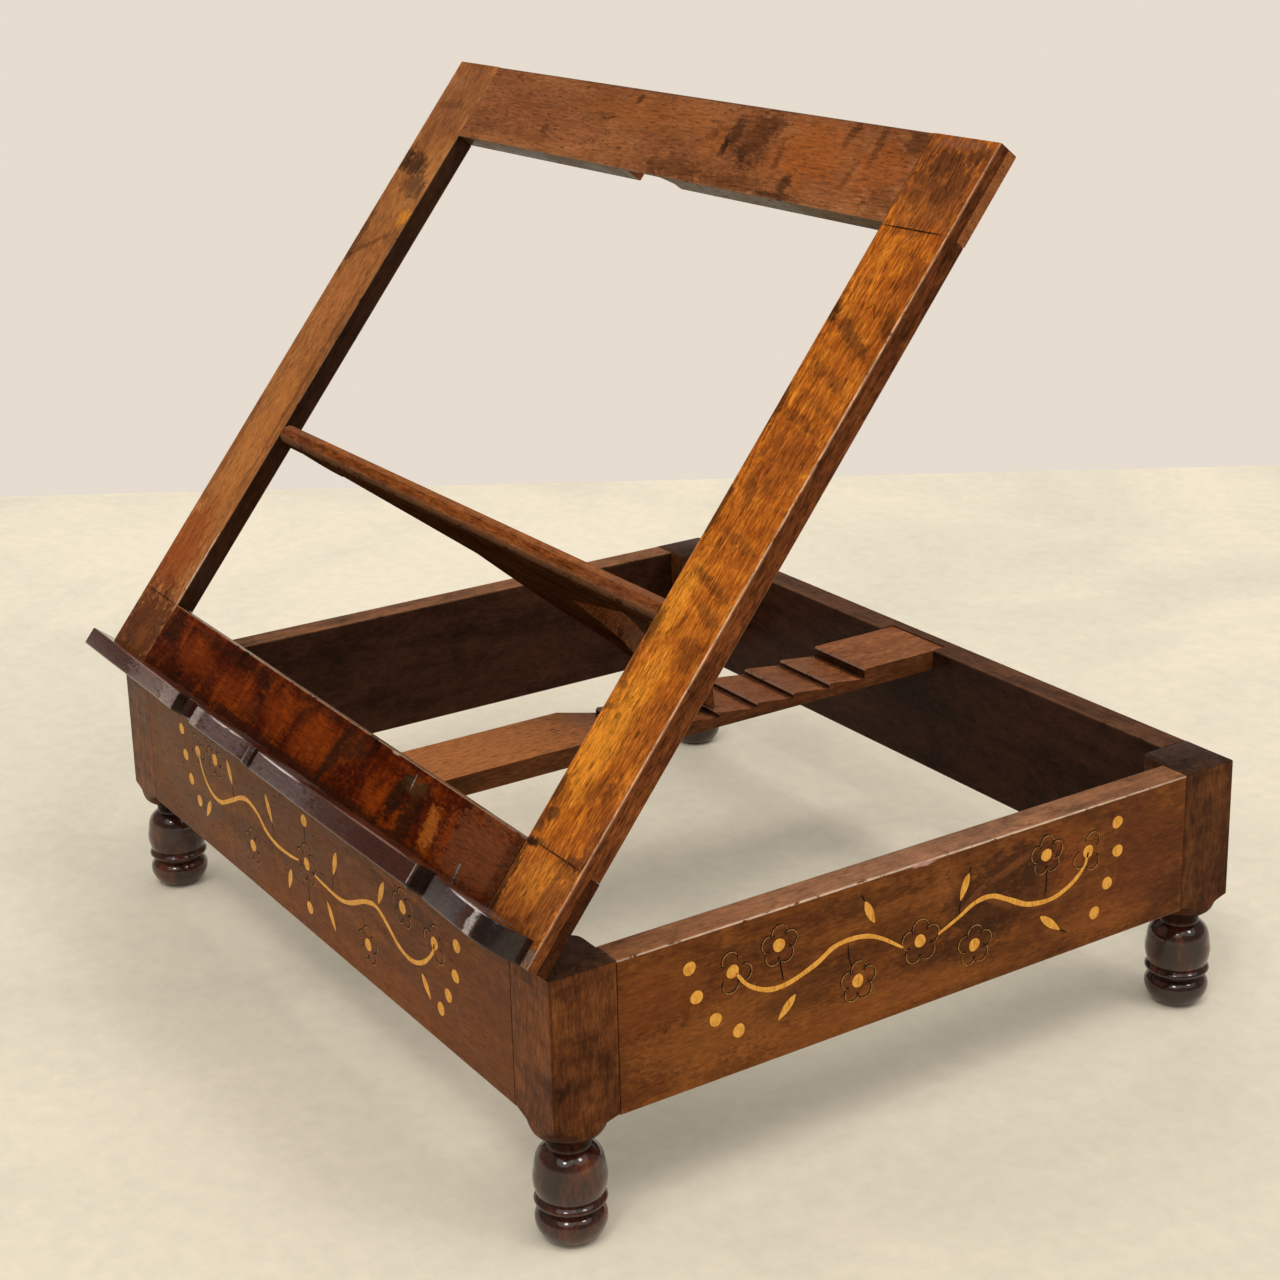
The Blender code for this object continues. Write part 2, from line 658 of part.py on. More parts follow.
def cut_pin_holes(prop, pivot):
    """Blind holes in both ends of the nose for the pivot pins."""
    half = WINDOW_HALF - PROP_SIDE_GAP
    depth = PROP_PIN_LENGTH - PROP_PIN_IN_STILE
    bm = bmesh.new()
    for sign in (-1, 1):
        ends = sorted((sign * (WINDOW_HALF - depth - SEAT_GAP), sign * (half + CUT_OVERRUN)))
        rod(bm, PROP_PIN_RADIUS + SEAT_GAP, ends[0], ends[1], (0, 0))
    apply_boolean(prop, place("prop_pin_holes", bm, "prop_walnut", pivot), "DIFFERENCE")


def build_prop_pin(name, sign, stile, pivot, frame):
    """A steel pin across the gap between the prop and a stile."""
    inside = sign * (WINDOW_HALF - PROP_PIN_LENGTH + PROP_PIN_IN_STILE)
    outside = sign * (WINDOW_HALF + PROP_PIN_IN_STILE)
    ends = sorted((inside, outside))
    bm = bmesh.new()
    rod(bm, PROP_PIN_RADIUS, ends[0], ends[1], (0, 0))
    place(name, bm, "steel", pivot, smooth=True)
    hole = bmesh.new()
    ends = sorted((sign * (WINDOW_HALF - CUT_OVERRUN), outside + sign * SEAT_GAP))
    rod(hole, PROP_PIN_RADIUS + SEAT_GAP, ends[0], ends[1], (PROP_PIVOT_UP_FRAME, FRAME_MIDDLE))
    apply_boolean(stile, place(name + "_hole", hole, "steel", frame), "DIFFERENCE")


def screw_profile(extra):
    """Half section of a countersunk screw below its head, grown by the extra."""
    head = SCREW_HEAD_RADIUS + extra
    shank = SCREW_SHANK_RADIUS + extra
    top = 0 if extra == 0 else CUT_OVERRUN
    cone = -(SCREW_HEAD_RADIUS - SCREW_SHANK_RADIUS)
    profile = [(0, -SCREW_LENGTH - extra), (shank, -SCREW_LENGTH - extra), (shank, cone), (head, 0)]
    if top:
        profile.append((head, top))
    profile.append((0, top))
    return profile


def hinge_side(on_frame, frame):
    """Place of the hinge line, the side its leaf lies on, and what carries the leaf."""
    if on_frame:
        return 0, 0, 1, frame
    return HINGE_Y, HINGE_Z, -1, None


def screw_places(side):
    """Distances along X of the two screws of a leaf."""
    spread = HINGE_LENGTH * SCREW_SPREAD_SHARE
    return side * (HINGE_X + spread), side * (HINGE_X - spread)


def add_screw(bm, screw_x, on_frame, extra, steps=12):
    """A countersunk screw through a leaf into the wood, grown all round by the extra."""
    origin_y, origin_z, sign, _ = hinge_side(on_frame, None)
    reach = origin_y + LEAF_WIDTH * SCREW_REACH_SHARE
    level = origin_z + sign * (KNUCKLE_RADIUS - LEAF_THICKNESS)
    loops = []
    for radius, height in screw_profile(extra):
        loop = []
        for step in range(steps):
            angle = math.tau * step / steps
            loop.append((screw_x + radius * math.cos(angle),
                         reach + radius * math.sin(angle),
                         level - sign * height))
        loops.append(loop)
    skin_round(bm, loops)


def skin_round(bm, loops):
    """Skin rings whose first and last close on a point."""
    tips = [bm.verts.new(sum((Vector(p) for p in loop), Vector()) / len(loop))
            for loop in (loops[0], loops[-1])]
    rings = [[bm.verts.new(point) for point in loop] for loop in loops[1:-1]]
    count = len(rings[0])
    for below, above in zip(rings[:-1], rings[1:]):
        for index in range(count):
            after = (index + 1) % count
            bm.faces.new((below[index], below[after], above[after], above[index]))
    for index in range(count):
        after = (index + 1) % count
        bm.faces.new((tips[0], rings[0][after], rings[0][index]))
        bm.faces.new((tips[1], rings[-1][index], rings[-1][after]))


def knuckle_spans(middle):
    """Spans along X of the knuckles of one leaf, from the middle of its hinge."""
    half_middle = HINGE_LENGTH * KNUCKLE_MIDDLE_SHARE / 2
    if middle:
        return ((-half_middle, half_middle),)
    start = half_middle + SEAT_GAP
    return ((-HINGE_LENGTH / 2, -start), (start, HINGE_LENGTH / 2))


def build_leaf(name, side, on_frame, frame):
    """One leaf of a butt hinge with its knuckles, flush in its recess."""
    origin_y, origin_z, sign, parent = hinge_side(on_frame, frame)
    centre_x = side * HINGE_X
    outer = origin_z + sign * KNUCKLE_RADIUS
    inner = origin_z + sign * (KNUCKLE_RADIUS - LEAF_THICKNESS)
    level = (min(outer, inner), max(outer, inner))
    plate = bmesh.new()
    start = origin_y + KNUCKLE_RADIUS + SEAT_GAP
    across = (start, origin_y + LEAF_WIDTH)
    loft(plate, bar_loops(0, ((centre_x - HINGE_LENGTH / 2, across, level),
                              (centre_x + HINGE_LENGTH / 2, across, level))))
    leaf = place(name, plate, "brass", parent, smooth=True)
    knuckles = bmesh.new()
    for low, high in knuckle_spans(on_frame):
        outline = knuckle_outline(origin_y, origin_z, sign, start)
        extrude_outline(knuckles, outline, 0, centre_x + low, centre_x + high)
    apply_boolean(leaf, place(name + "_knuckles", knuckles, "brass", parent), "UNION")
    bore = bmesh.new()
    rod(bore, HINGE_PIN_RADIUS + SEAT_GAP, centre_x - HINGE_LENGTH, centre_x + HINGE_LENGTH,
        (origin_y, origin_z))
    apply_boolean(leaf, place(name + "_bore", bore, "brass", parent), "DIFFERENCE")
    holes = bmesh.new()
    for screw_x in screw_places(side):
        add_screw(holes, screw_x, on_frame, SEAT_GAP)
    apply_boolean(leaf, place(name + "_holes", holes, "brass", parent), "DIFFERENCE")
    return leaf


def knuckle_outline(origin_y, origin_z, sign, start):
    """A round knuckle run out flat into its leaf, as (y, z)."""
    outline = []
    steps = 20
    quarter = steps // 4
    for step in range(steps - quarter + 1):
        angle = math.pi / 2 + math.tau * step / steps
        outline.append((origin_y + KNUCKLE_RADIUS * math.cos(angle),
                        origin_z + sign * KNUCKLE_RADIUS * math.sin(angle)))
    bend = KNUCKLE_RADIUS - LEAF_THICKNESS
    overlap = start + LEAF_THICKNESS
    outline.append((origin_y + KNUCKLE_RADIUS, origin_z + sign * bend))
    outline.append((overlap, origin_z + sign * bend))
    outline.append((overlap, origin_z + sign * KNUCKLE_RADIUS))
    return outline


def cut_leaf_recess(wood, side, on_frame, frame):
    """The shallow recess for a leaf, its rounded gain for the knuckles and its screw holes."""
    origin_y, origin_z, sign, parent = hinge_side(on_frame, frame)
    centre_x = side * HINGE_X
    low_x = centre_x - HINGE_LENGTH / 2 - SEAT_GAP
    high_x = centre_x + HINGE_LENGTH / 2 + SEAT_GAP
    floor = origin_z + sign * (KNUCKLE_RADIUS + SEAT_GAP)
    bed = (min(floor, origin_z), max(floor, origin_z))
    recess = bmesh.new()
    across = (origin_y - KNUCKLE_RADIUS - CUT_OVERRUN, origin_y + LEAF_WIDTH + SEAT_GAP)
    loft(recess, bar_loops(0, ((low_x, across, bed), (high_x, across, bed))))
    name = wood.name + ("_right" if side > 0 else "_left")
    apply_boolean(wood, place(name + "_recess", recess, "brass", parent), "DIFFERENCE")
    screws = bmesh.new()
    for screw_x in screw_places(side):
        add_screw(screws, screw_x, on_frame, SEAT_GAP)
    apply_boolean(wood, place(name + "_screws", screws, "brass", parent), "DIFFERENCE")


def build_hinge_pin(name, side):
    """The steel pin through the knuckles of a hinge."""
    half = HINGE_LENGTH / 2
    bm = bmesh.new()
    rod(bm, HINGE_PIN_RADIUS, side * HINGE_X - half, side * HINGE_X + half, (HINGE_Y, HINGE_Z))
    return place(name, bm, "steel", smooth=True)


def build_hinge_screws(name, side, on_frame, frame):
    """The two screws of one leaf, each in its own countersunk hole."""
    for place_name, screw_x in zip(("outer", "inner"), screw_places(side)):
        bm = bmesh.new()
        add_screw(bm, screw_x, on_frame, 0)
        parent = frame if on_frame else None
        place(name + "_" + place_name, bm, "steel", parent, smooth=True)


def build_base():
    """Posts, rails and rack bar of the base."""
    for front, sign_y in (("front", -1), ("rear", 1)):
        for hand, sign_x in (("left", -1), ("right", 1)):
            build_post("post_" + front + "_" + hand, sign_x, sign_y)
    front_rail = build_rail("front_rail", 0, -1)
    rear_rail = build_rail("rear_rail", 0, 1)
    build_rail("left_rail", 1, -1)
    build_rail("right_rail", 1, 1)
    build_rack()
    cut_rack_housing(front_rail, -1)
    cut_rack_housing(rear_rail, 1)
    return front_rail


def build_frame(frame):
    """Stiles, rails and ledge of the reading frame, laid out flat and tilted by their parent."""
    stiles = {}
    for hand, sign in (("left", -1), ("right", 1)):
        stiles[sign] = build_stile("frame_stile_" + hand, sign, frame)
    top_rail = build_frame_rail("frame_rail_top", WINDOW_TOP, FRAME_LENGTH, frame)
    bottom_rail = build_frame_rail("frame_rail_bottom", 0, BOTTOM_RAIL_WIDTH, frame)
    cut_finger_scoop(top_rail, frame)
    ledge = build_ledge(frame)
    build_ledge_pin(ledge, frame)
    return stiles, bottom_rail


def build_hinges(front_rail, bottom_rail, frame):
    """Both butt hinges, with the recesses that they lie in."""
    for hand, side in (("left", -1), ("right", 1)):
        cut_leaf_recess(front_rail, side, False, frame)
        cut_leaf_recess(bottom_rail, side, True, frame)
        build_leaf("hinge_leaf_base_" + hand, side, False, frame)
        build_leaf("hinge_leaf_frame_" + hand, side, True, frame)
        build_hinge_pin("hinge_pin_" + hand, side)
        build_hinge_screws("hinge_screw_base_" + hand, side, False, frame)
        build_hinge_screws("hinge_screw_frame_" + hand, side, True, frame)


def main():
    """Clear the scene and build the lectern."""
    for thing in list(bpy.data.objects):
        bpy.data.objects.remove(thing, do_unlink=True)
    frame = pivot_empty("frame_hinge_line", (0, HINGE_Y, HINGE_Z), FRAME_TILT)
    pivot = pivot_empty("prop_pivot_line", (0, PROP_PIVOT_UP_FRAME, FRAME_MIDDLE),
                        -FRAME_TILT - PROP_LEAN, frame)
    front_rail = build_base()
    stiles, bottom_rail = build_frame(frame)
    build_hinges(front_rail, bottom_rail, frame)
    build_prop(pivot)
    for hand, sign in (("left", -1), ("right", 1)):
        build_prop_pin("prop_pin_" + hand, sign, stiles[sign], pivot, frame)
    loose = [thing for thing in bpy.data.objects if thing.parent is None]
    middle = pivot_empty("base_middle", (0, SET_BACK, 0), 0)
    for thing in loose:
        thing.parent = middle


main()
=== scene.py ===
import math

import bmesh
import bpy
import numpy as np
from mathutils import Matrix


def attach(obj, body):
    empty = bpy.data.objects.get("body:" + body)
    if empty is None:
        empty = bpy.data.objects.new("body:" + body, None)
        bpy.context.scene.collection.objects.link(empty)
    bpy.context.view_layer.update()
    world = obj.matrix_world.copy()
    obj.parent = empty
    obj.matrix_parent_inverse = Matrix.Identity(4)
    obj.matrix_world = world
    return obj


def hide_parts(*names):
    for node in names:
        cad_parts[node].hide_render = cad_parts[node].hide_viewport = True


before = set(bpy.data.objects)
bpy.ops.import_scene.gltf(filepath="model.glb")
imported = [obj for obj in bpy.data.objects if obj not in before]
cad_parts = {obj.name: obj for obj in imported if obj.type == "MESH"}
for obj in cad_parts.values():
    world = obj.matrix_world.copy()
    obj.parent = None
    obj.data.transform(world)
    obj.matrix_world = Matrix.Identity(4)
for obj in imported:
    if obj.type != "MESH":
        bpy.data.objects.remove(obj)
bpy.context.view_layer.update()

MM = 0.001

# Places in the row frame, in metres
TILT = math.radians(51.8)
HINGE_LINE = (0.0, -0.170538, 0.1232)
FRAME_FACE = 0.0108
PROP_PIVOT = (0.0, -0.0861689, 0.239793)
PROP_LEAN = math.radians(41.2977)
RIGHT_FACE = 0.215
FRONT_FACE = -0.169738
BASE_TOP = 0.122
POST_X = 0.2
POST_FRONT_Y = -0.154738
POST_REAR_Y = 0.179262
POST_HALF = 0.015
GLOSS_TOP = 0.0502

# Colours of the room, the inlay and the scribing, and of the painted highlight beside the scribing,
# linear
FLOOR_COLOUR = (0.86, 0.78, 0.625)
FLOOR_DULL = (0.77, 0.712, 0.568)
WALL_COLOUR = (0.795, 0.712, 0.627)
CEILING_COLOUR = (0.22, 0.197, 0.176)
ROOM_COLOUR = (1.00, 0.97, 0.93)
ROOM_LEVEL = 0.72
INLAY_PALE = (0.78, 0.38, 0.066)
INLAY_DEEP = (0.56, 0.225, 0.026)
SCRIBE_DARK = (0.016, 0.007, 0.004)
SCRIBE_GLINT_TONE = (0.48, 0.245, 0.07)

# Waves to the metre of each pattern in the wood, along the fibre and across it
FIGURE, CLOUDS, RIPPLES = (7, 55), (22, 40), (85, 16)
MOTTLES, SPECKS = (130, 210), (380, 620)
STREAKS, FIBRE, PORES = (60, 560), (190, 1250), (150, 900)
KNOTS = 190


# ---- finishes

class Nodes:
    """A node tree being built: each method adds nodes and gives back what comes out of them."""

    def __init__(self, tree):
        self.tree = tree

    def feed(self, socket, value):
        """Joins a node's output to the socket, or writes a number or colour on it."""
        if isinstance(value, bpy.types.NodeSocket):
            self.tree.links.new(value, socket)
        elif value is not None:
            if socket.type == "RGBA" and len(value) == 3:
                value = (*value, 1.0)
            socket.default_value = value

    def add(self, kind, inputs, output=0, **settings):
        node = self.tree.nodes.new("ShaderNode" + kind)
        for key, setting in settings.items():
            setattr(node, key, setting)
        for key, value in inputs.items():
            self.feed(node.inputs[key], value)
        return node.outputs[output]

    def sum(self, operation, first, second=None, third=None):
        return self.add("Math", {0: first, 1: second, 2: third}, operation=operation)

    def times(self, first, second):
        return self.sum("MULTIPLY", first, second)

    def mixed(self, first, second, share):
        return self.add("Mix", {0: share, 6: first, 7: second}, 2, data_type="RGBA")

    def scaled(self, colour, factor):
        return self.add("VectorMath", {0: colour, "Scale": factor}, operation="SCALE")

    def parts(self, vector):
        node = self.tree.nodes.new("ShaderNodeSeparateXYZ")
        self.feed(node.inputs[0], vector)
        return node.outputs

    def moved(self, place, location, turn=(0, 0, 0), size=(1, 1, 1)):
        """Coordinates seen from a frame that stands at location, turned and scaled so."""
        return self.add("Mapping",
                        {"Vector": place, "Location": location, "Rotation": turn, "Scale": size},
                        vector_type="TEXTURE")

    def noise(self, place, counts, detail=3.0, roughness=0.55, distortion=0.0):
        """Noise with so many waves to the metre, along each axis or along all three."""
        if not isinstance(counts, tuple):
            counts = (counts, counts, counts)
        stretched = self.add("VectorMath", {0: place, 1: counts}, operation="MULTIPLY")
        return self.add("TexNoise", {"Vector": stretched, "Scale": 1.0, "Detail": detail,
                                     "Roughness": roughness, "Distortion": distortion})

    def span(self, value, low, high, start=0.0, end=1.0):
        """Smooth step of the value from low to high, given back between start and end."""
        return self.add("MapRange", {"Value": value, "From Min": low, "From Max": high,
                                     "To Min": start, "To Max": end},
                        interpolation_type="SMOOTHSTEP")

    def swayed(self, level, noise, weight):
        """The level, lower by weight where the noise is 0.3 or less, higher by it from 0.7."""
        swing = self.add("MapRange", {"Value": noise, "From Min": 0.3, "From Max": 0.7,
                                      "To Min": -1.0, "To Max": 1.0})
        return self.sum("MULTIPLY_ADD", swing, weight, level)

    def ramp(self, value, stops):
        node = self.tree.nodes.new("ShaderNodeValToRGB")
        while len(node.color_ramp.elements) < len(stops):
            node.color_ramp.elements.new(0.5)
        for element, (position, colour) in zip(node.color_ramp.elements, stops):
            element.position = position
            element.color = (*colour, 1.0)
        self.feed(node.inputs[0], value)
        return node.outputs[0]

    def patch(self, place, ellipse, turn=0.0, warp=None):
        """1 inside a soft-edged ellipse and 0 outside, its edge pushed in and out by warp. It
        is given by its middle and half sizes in millimetres and its turn in degrees."""
        along, up, wide, high = (value * MM for value in ellipse)
        seen = self.moved(place, (along, up, 0), (0, 0, math.radians(turn)), (wide, high, 10.0))
        away = self.add("VectorMath", {0: seen}, 1, operation="LENGTH")
        if warp is not None:
            away = self.sum("ADD", away, warp)
        return self.span(away, 1.4, 0.6)


class Finish(Nodes):
    """A material on one shader. place gives the piece's own coordinates and normal."""

    def __init__(self, name, coat=0.0, coat_roughness=0.12, metallic=0.0, shine=0.5):
        self.material = bpy.data.materials.new(name)
        self.material.use_nodes = True
        super().__init__(self.material.node_tree)
        self.tree.nodes.clear()
        self.shader = self.tree.nodes.new("ShaderNodeBsdfPrincipled")
        output = self.tree.nodes.new("ShaderNodeOutputMaterial")
        self.tree.links.new(self.shader.outputs["BSDF"], output.inputs["Surface"])
        for key, value in (("Coat Weight", coat), ("Coat Roughness", coat_roughness),
                           ("Metallic", metallic), ("Specular IOR Level", shine)):
            self.shader.inputs[key].default_value = value
        self.place = self.tree.nodes.new("ShaderNodeTexCoord").outputs

    def finish(self, colour, roughness, height=None, depth=0.0001):
        """The material, with a relief that is as deep as depth where a height is given."""
        self.feed(self.shader.inputs["Base Color"], colour)
        self.feed(self.shader.inputs["Roughness"], roughness)
        if height is not None:
            bumped = self.add("Bump", {"Height": height, "Distance": depth, "Strength": 1.0})
            self.feed(self.shader.inputs["Normal"], bumped)
        return self.material


def arris_mask(finish, turn=0.0):
    """1 where the surface faces none of the piece's own six sides, which is on a rounded arris.

    The largest of the three parts of the normal falls from 1 on a side to about 0.7 on an arris.
    """
    normal = finish.place["Normal"]
    if turn:
        normal = finish.moved(normal, (0, 0, 0), (turn, 0, 0))
    sizes = [finish.sum("ABSOLUTE", part) for part in finish.parts(normal)]
    largest = finish.sum("MAXIMUM", finish.sum("MAXIMUM", sizes[0], sizes[1]), sizes[2])
    return finish.span(largest, 0.985, 0.86)


def side_mask(finish, direction):
    """1 where the surface faces the given way, and 0 where it is square to it or away."""
    facing = finish.add("VectorMath", {0: finish.place["Normal"], 1: direction}, 1,
                        operation="DOT_PRODUCT")
    return finish.span(facing, 0.35, 0.85)


def wood_finish(name, grain, tones, spots=(), place=None, face=None, edge=(0.42, 0.24, 0.13),
                edge_share=0.5, roughness=0.32, coat=0.0, shine=0.06, ripple=0.0, burl=None,
                sides=(), turn=0.0, flecks=0.55, streak=0.16, mottle=0.16, fibre=0.38):
    """One polished wood.

    grain is the fibre's axis in the piece's own frame, which place finds, and turn is that
    frame's lean. The colour runs through the three tones with broad figure, streaks, mottles
    and ripples, each a noise that is drawn out along the fibre or across it. Fine fibre and
    short dark pores go over it. streak, mottle, ripple, fibre and flecks say how strong those
    are.

    spots are soft ellipses with ragged edges: (middle along, middle up, half length, half
    height, tone, strength, turn), as face sees them, in millimetres and degrees. A turn of 0
    is left out. One thinner than a millimetre is a crisp broken line. burl is the ellipse
    where the fibre is knotted. sides are (direction, tone, strength) for the surfaces that
    face another way. Some spots and sides are painted light and shade: painted shade in
    grooves, on inner faces, ends and undersides, and painted highlights and sheen along
    arrises and tops.
    """
    finish = Finish(name, coat, shine=shine)
    own = finish.place["Object"] if place is None else place(finish)
    seen = own if face is None else face(finish, own)

    def drawn(waves, *settings):
        counts = tuple(waves[0] if axis == grain else waves[1] for axis in "XYZ")
        return finish.noise(own, counts, *settings)

    streaks = drawn(STREAKS, 4.0, 0.65, 0.2)
    fine = drawn(FIBRE, 3.0, 0.7)
    cloud = drawn(CLOUDS, 4.0, 0.62, 0.6)
    ragged = drawn(MOTTLES, 5.0, 0.7, 0.4)
    pores = finish.span(drawn(PORES, 2.0, 0.5), 0.6, 0.7)
    level = finish.swayed(0.5, drawn(FIGURE, 4.0, 0.6, 0.8), 0.17)
    for noise, weight in ((streaks, streak), (cloud, mottle), (ragged, mottle)):
        level = finish.swayed(level, noise, weight)
    if ripple:
        level = finish.swayed(level, drawn(RIPPLES, 3.0, 0.55, 1.4), ripple)
    if burl is not None:
        knotted = finish.swayed(0.42, finish.noise(own, KNOTS, 4.0, 0.6, 2.0), 0.3)
        level = finish.add("Mix", {0: finish.patch(seen, burl), 2: level, 3: knotted},
                           data_type="FLOAT")
    dark, middle, pale = tones
    colour = finish.ramp(level, ((0.0, dark), (0.5, middle), (1.0, pale)))
    rim = finish.swayed(0.0, ragged, 0.42)
    rim = finish.swayed(rim, drawn(SPECKS, 4.0, 0.7), 0.45)
    broken = finish.span(ragged, 0.36, 0.44)
    for spot in spots:
        ellipse, (tone, strength, *lean) = spot[:4], spot[4:]
        crisp = min(ellipse[2:]) < 1.0
        mask = finish.patch(seen, ellipse, *lean, warp=None if crisp else rim)
        if crisp:
            mask = finish.times(mask, broken)
        colour = finish.mixed(colour, tone, finish.times(mask, strength))
    for direction, tone, strength in sides:
        mask = finish.times(side_mask(finish, direction), strength)
        shaded = finish.scaled(tone, finish.span(level, 0.0, 1.0, 0.3, 1.7))
        colour = finish.mixed(colour, shaded, mask)
    colour = finish.scaled(colour, finish.swayed(1.0, fine, fibre))
    colour = finish.mixed(colour, tuple(value * 0.25 for value in dark),
                          finish.times(pores, flecks))
    # Arrises take the edge tone: on most woods it is lighter, wear and a painted highlight along
    # the rounded edge; on the posts it is dark.
    arris_wear_and_glint = finish.times(arris_mask(finish, turn), broken)
    colour = finish.mixed(colour, edge, finish.times(arris_wear_and_glint, edge_share))
    rough = finish.span(cloud, 0.3, 0.7, roughness - 0.08, roughness + 0.1)
    rough = finish.sum("MULTIPLY_ADD", pores, 0.25, rough)
    height = finish.sum("MULTIPLY_ADD", fine, 0.5, finish.times(streaks, 0.5))
    height = finish.sum("MULTIPLY_ADD", pores, -0.8, height)
    return finish.finish(colour, rough, height, 0.00005)


def turned_finish(name):
    """Dark red-brown gloss on the turned feet: upright fibre with warm glints, and rings of
    old polish about the lathe's axis. Upwards into the shoulder it is painted darker, a
    painted shade under the overhang, and its coat dulls."""
    finish = Finish(name, coat_roughness=0.08, shine=0.05)
    finish.shader.inputs["Coat IOR"].default_value = 1.65
    own = finish.place["Object"]
    height = finish.parts(own)[2]
    finish.feed(finish.shader.inputs["Coat Weight"], finish.span(height, 0.0405, 0.043, 0.8, 0.0))
    rings = finish.noise(own, (60, 60, 900), 3.0, 0.6)
    cloud = finish.noise(own, (85, 85, 40), 4.0, 0.65, 0.3)
    level = finish.swayed(0.42, cloud, 0.4)
    level = finish.swayed(level, finish.noise(own, (700, 700, 130), 4.0, 0.65), 0.13)
    colour = finish.ramp(level, ((0.0, (0.005, 0.002, 0.001)), (0.42, (0.032, 0.008, 0.004)),
                                 (0.75, (0.105, 0.024, 0.006)), (1.0, (0.23, 0.064, 0.014))))
    # Painted shade: darker upwards through the neck, under the shoulder.
    colour = finish.scaled(colour, finish.span(height, 0.036, 0.046, 1.0, 0.45))
    waves = finish.sum("ADD", finish.times(rings, 0.5), cloud)
    return finish.finish(colour, finish.span(cloud, 0.3, 0.7, 0.22, 0.34), waves, 0.00011)


def frame_place(finish):
    """Across, up and out of the reading frame, measured from the hinge line."""
    return finish.moved(finish.place["Object"], HINGE_LINE, (TILT, 0, 0))


def prop_place(finish):
    """Across, along and through the prop, measured from its pins."""
    return finish.moved(finish.place["Object"], PROP_PIVOT, (-PROP_LEAN, 0, 0))


def long_side(axes):
    """Face coordinates on a straight bar: two of its axes, along it first."""
    def seen(finish, own):
        parts = finish.parts(own)
        return finish.add("CombineXYZ", {0: parts[axes[0]], 1: parts[axes[1]]})
    return seen


def metal_finish(name, clean, dull, roughness):
    """Worn metal: clean on the raised parts, dulled in clouds, with fine scratches."""
    finish = Finish(name, metallic=1.0)
    own = finish.place["Object"]
    cloud = finish.noise(own, 420, 4.0, 0.65, 0.6)
    scratch = finish.noise(own, (2600, 240, 2600), 2.0, 0.5)
    colour = finish.mixed(clean, dull, finish.span(cloud, 0.38, 0.62))
    rough = finish.span(cloud, 0.3, 0.7, roughness - 0.1, roughness + 0.15)
    return finish.finish(colour, rough, scratch, 0.00003)


def inlay_finish():
    """Pale fruitwood let into the rail: fine straight fibre and darker clouds of old polish."""
    finish = Finish("pale_inlay", shine=0.08)
    own = finish.place["Object"]
    fibre = finish.noise(own, (900, 900, 260), 3.0, 0.6, 0.3)
    cloud = finish.noise(own, 240, 3.0, 0.6)
    colour = finish.mixed(INLAY_DEEP, INLAY_PALE, finish.span(fibre, 0.3, 0.6))
    colour = finish.mixed(colour, INLAY_DEEP, finish.span(cloud, 0.58, 0.74, 0.0, 0.7))
    return finish.finish(colour, finish.span(cloud, 0.3, 0.7, 0.3, 0.42), fibre, 0.00002)


def scribe_finish(name, tone):
    """Line scratched into the polish, filled with old wax. In a light tone the same finish paints
    the highlight beside it.
    """
    finish = Finish(name, shine=0.04)
    grit = finish.noise(finish.place["Object"], 1100, 3.0, 0.6)
    colour = finish.mixed(tone, tuple(value * 0.35 for value in tone),
                          finish.span(grit, 0.42, 0.62))
    return finish.finish(colour, finish.span(grit, 0.3, 0.7, 0.4, 0.6), grit, 0.00002)


# ---- surfaces

def skin(rows):
    """Points and faces of rows of points: each row is a closed ring, joined to the next one
    by four-sided faces, and the first and last ring are filled."""
    count, around = rows.shape[:2]
    here = np.arange(count * around).reshape(count, around)
    beside = np.roll(here, -1, axis=1)
    quads = np.stack([here[:-1], beside[:-1], beside[1:], here[1:]], axis=-1).reshape(-1, 4)
    faces = [*quads.tolist(), here[0, ::-1].tolist(), here[-1].tolist()]
    return rows.reshape(-1, 3), faces


def joined(shells):
    """Several (points, faces) as one."""
    points, faces, start = [], [], 0
    for shell_points, shell_faces in shells:
        points.append(shell_points)
        faces.extend([[corner + start for corner in face] for face in shell_faces])
        start += len(shell_points)
    return np.vstack(points), faces


def make_piece(name, shell, material, body, crease, replaced=()):
    """A closed shell as an object with its faces turned outwards, on its body. Edges bent by
    more than crease, in degrees, stay sharp."""
    points, faces = shell
    mesh = bpy.data.meshes.new(name)
    mesh.from_pydata(points.tolist(), [], faces)
    bm = bmesh.new()
    bm.from_mesh(mesh)
    bmesh.ops.recalc_face_normals(bm, faces=bm.faces)
    bm.to_mesh(mesh)
    bm.free()
    mesh.shade_smooth()
    mesh.set_sharp_from_angle(angle=math.radians(crease))
    mesh.materials.append(material)
    thing = bpy.data.objects.new(name, mesh)
    bpy.context.scene.collection.objects.link(thing)
    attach(thing, body)
    if replaced:
        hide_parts(*replaced)
    return thing


def bowed(start, end, swell, steps):
    """Points from start to end, pushed sideways by half a sine that is swell high."""
    share = np.linspace(0, 1, steps + 1)[1:]
    run, rise = end[0] - start[0], end[1] - start[1]
    length = math.hypot(run, rise)
    push = swell * np.sin(math.pi * share)
    return np.column_stack([start[0] + run * share + rise / length * push,
                            start[1] + rise * share - run / length * push])


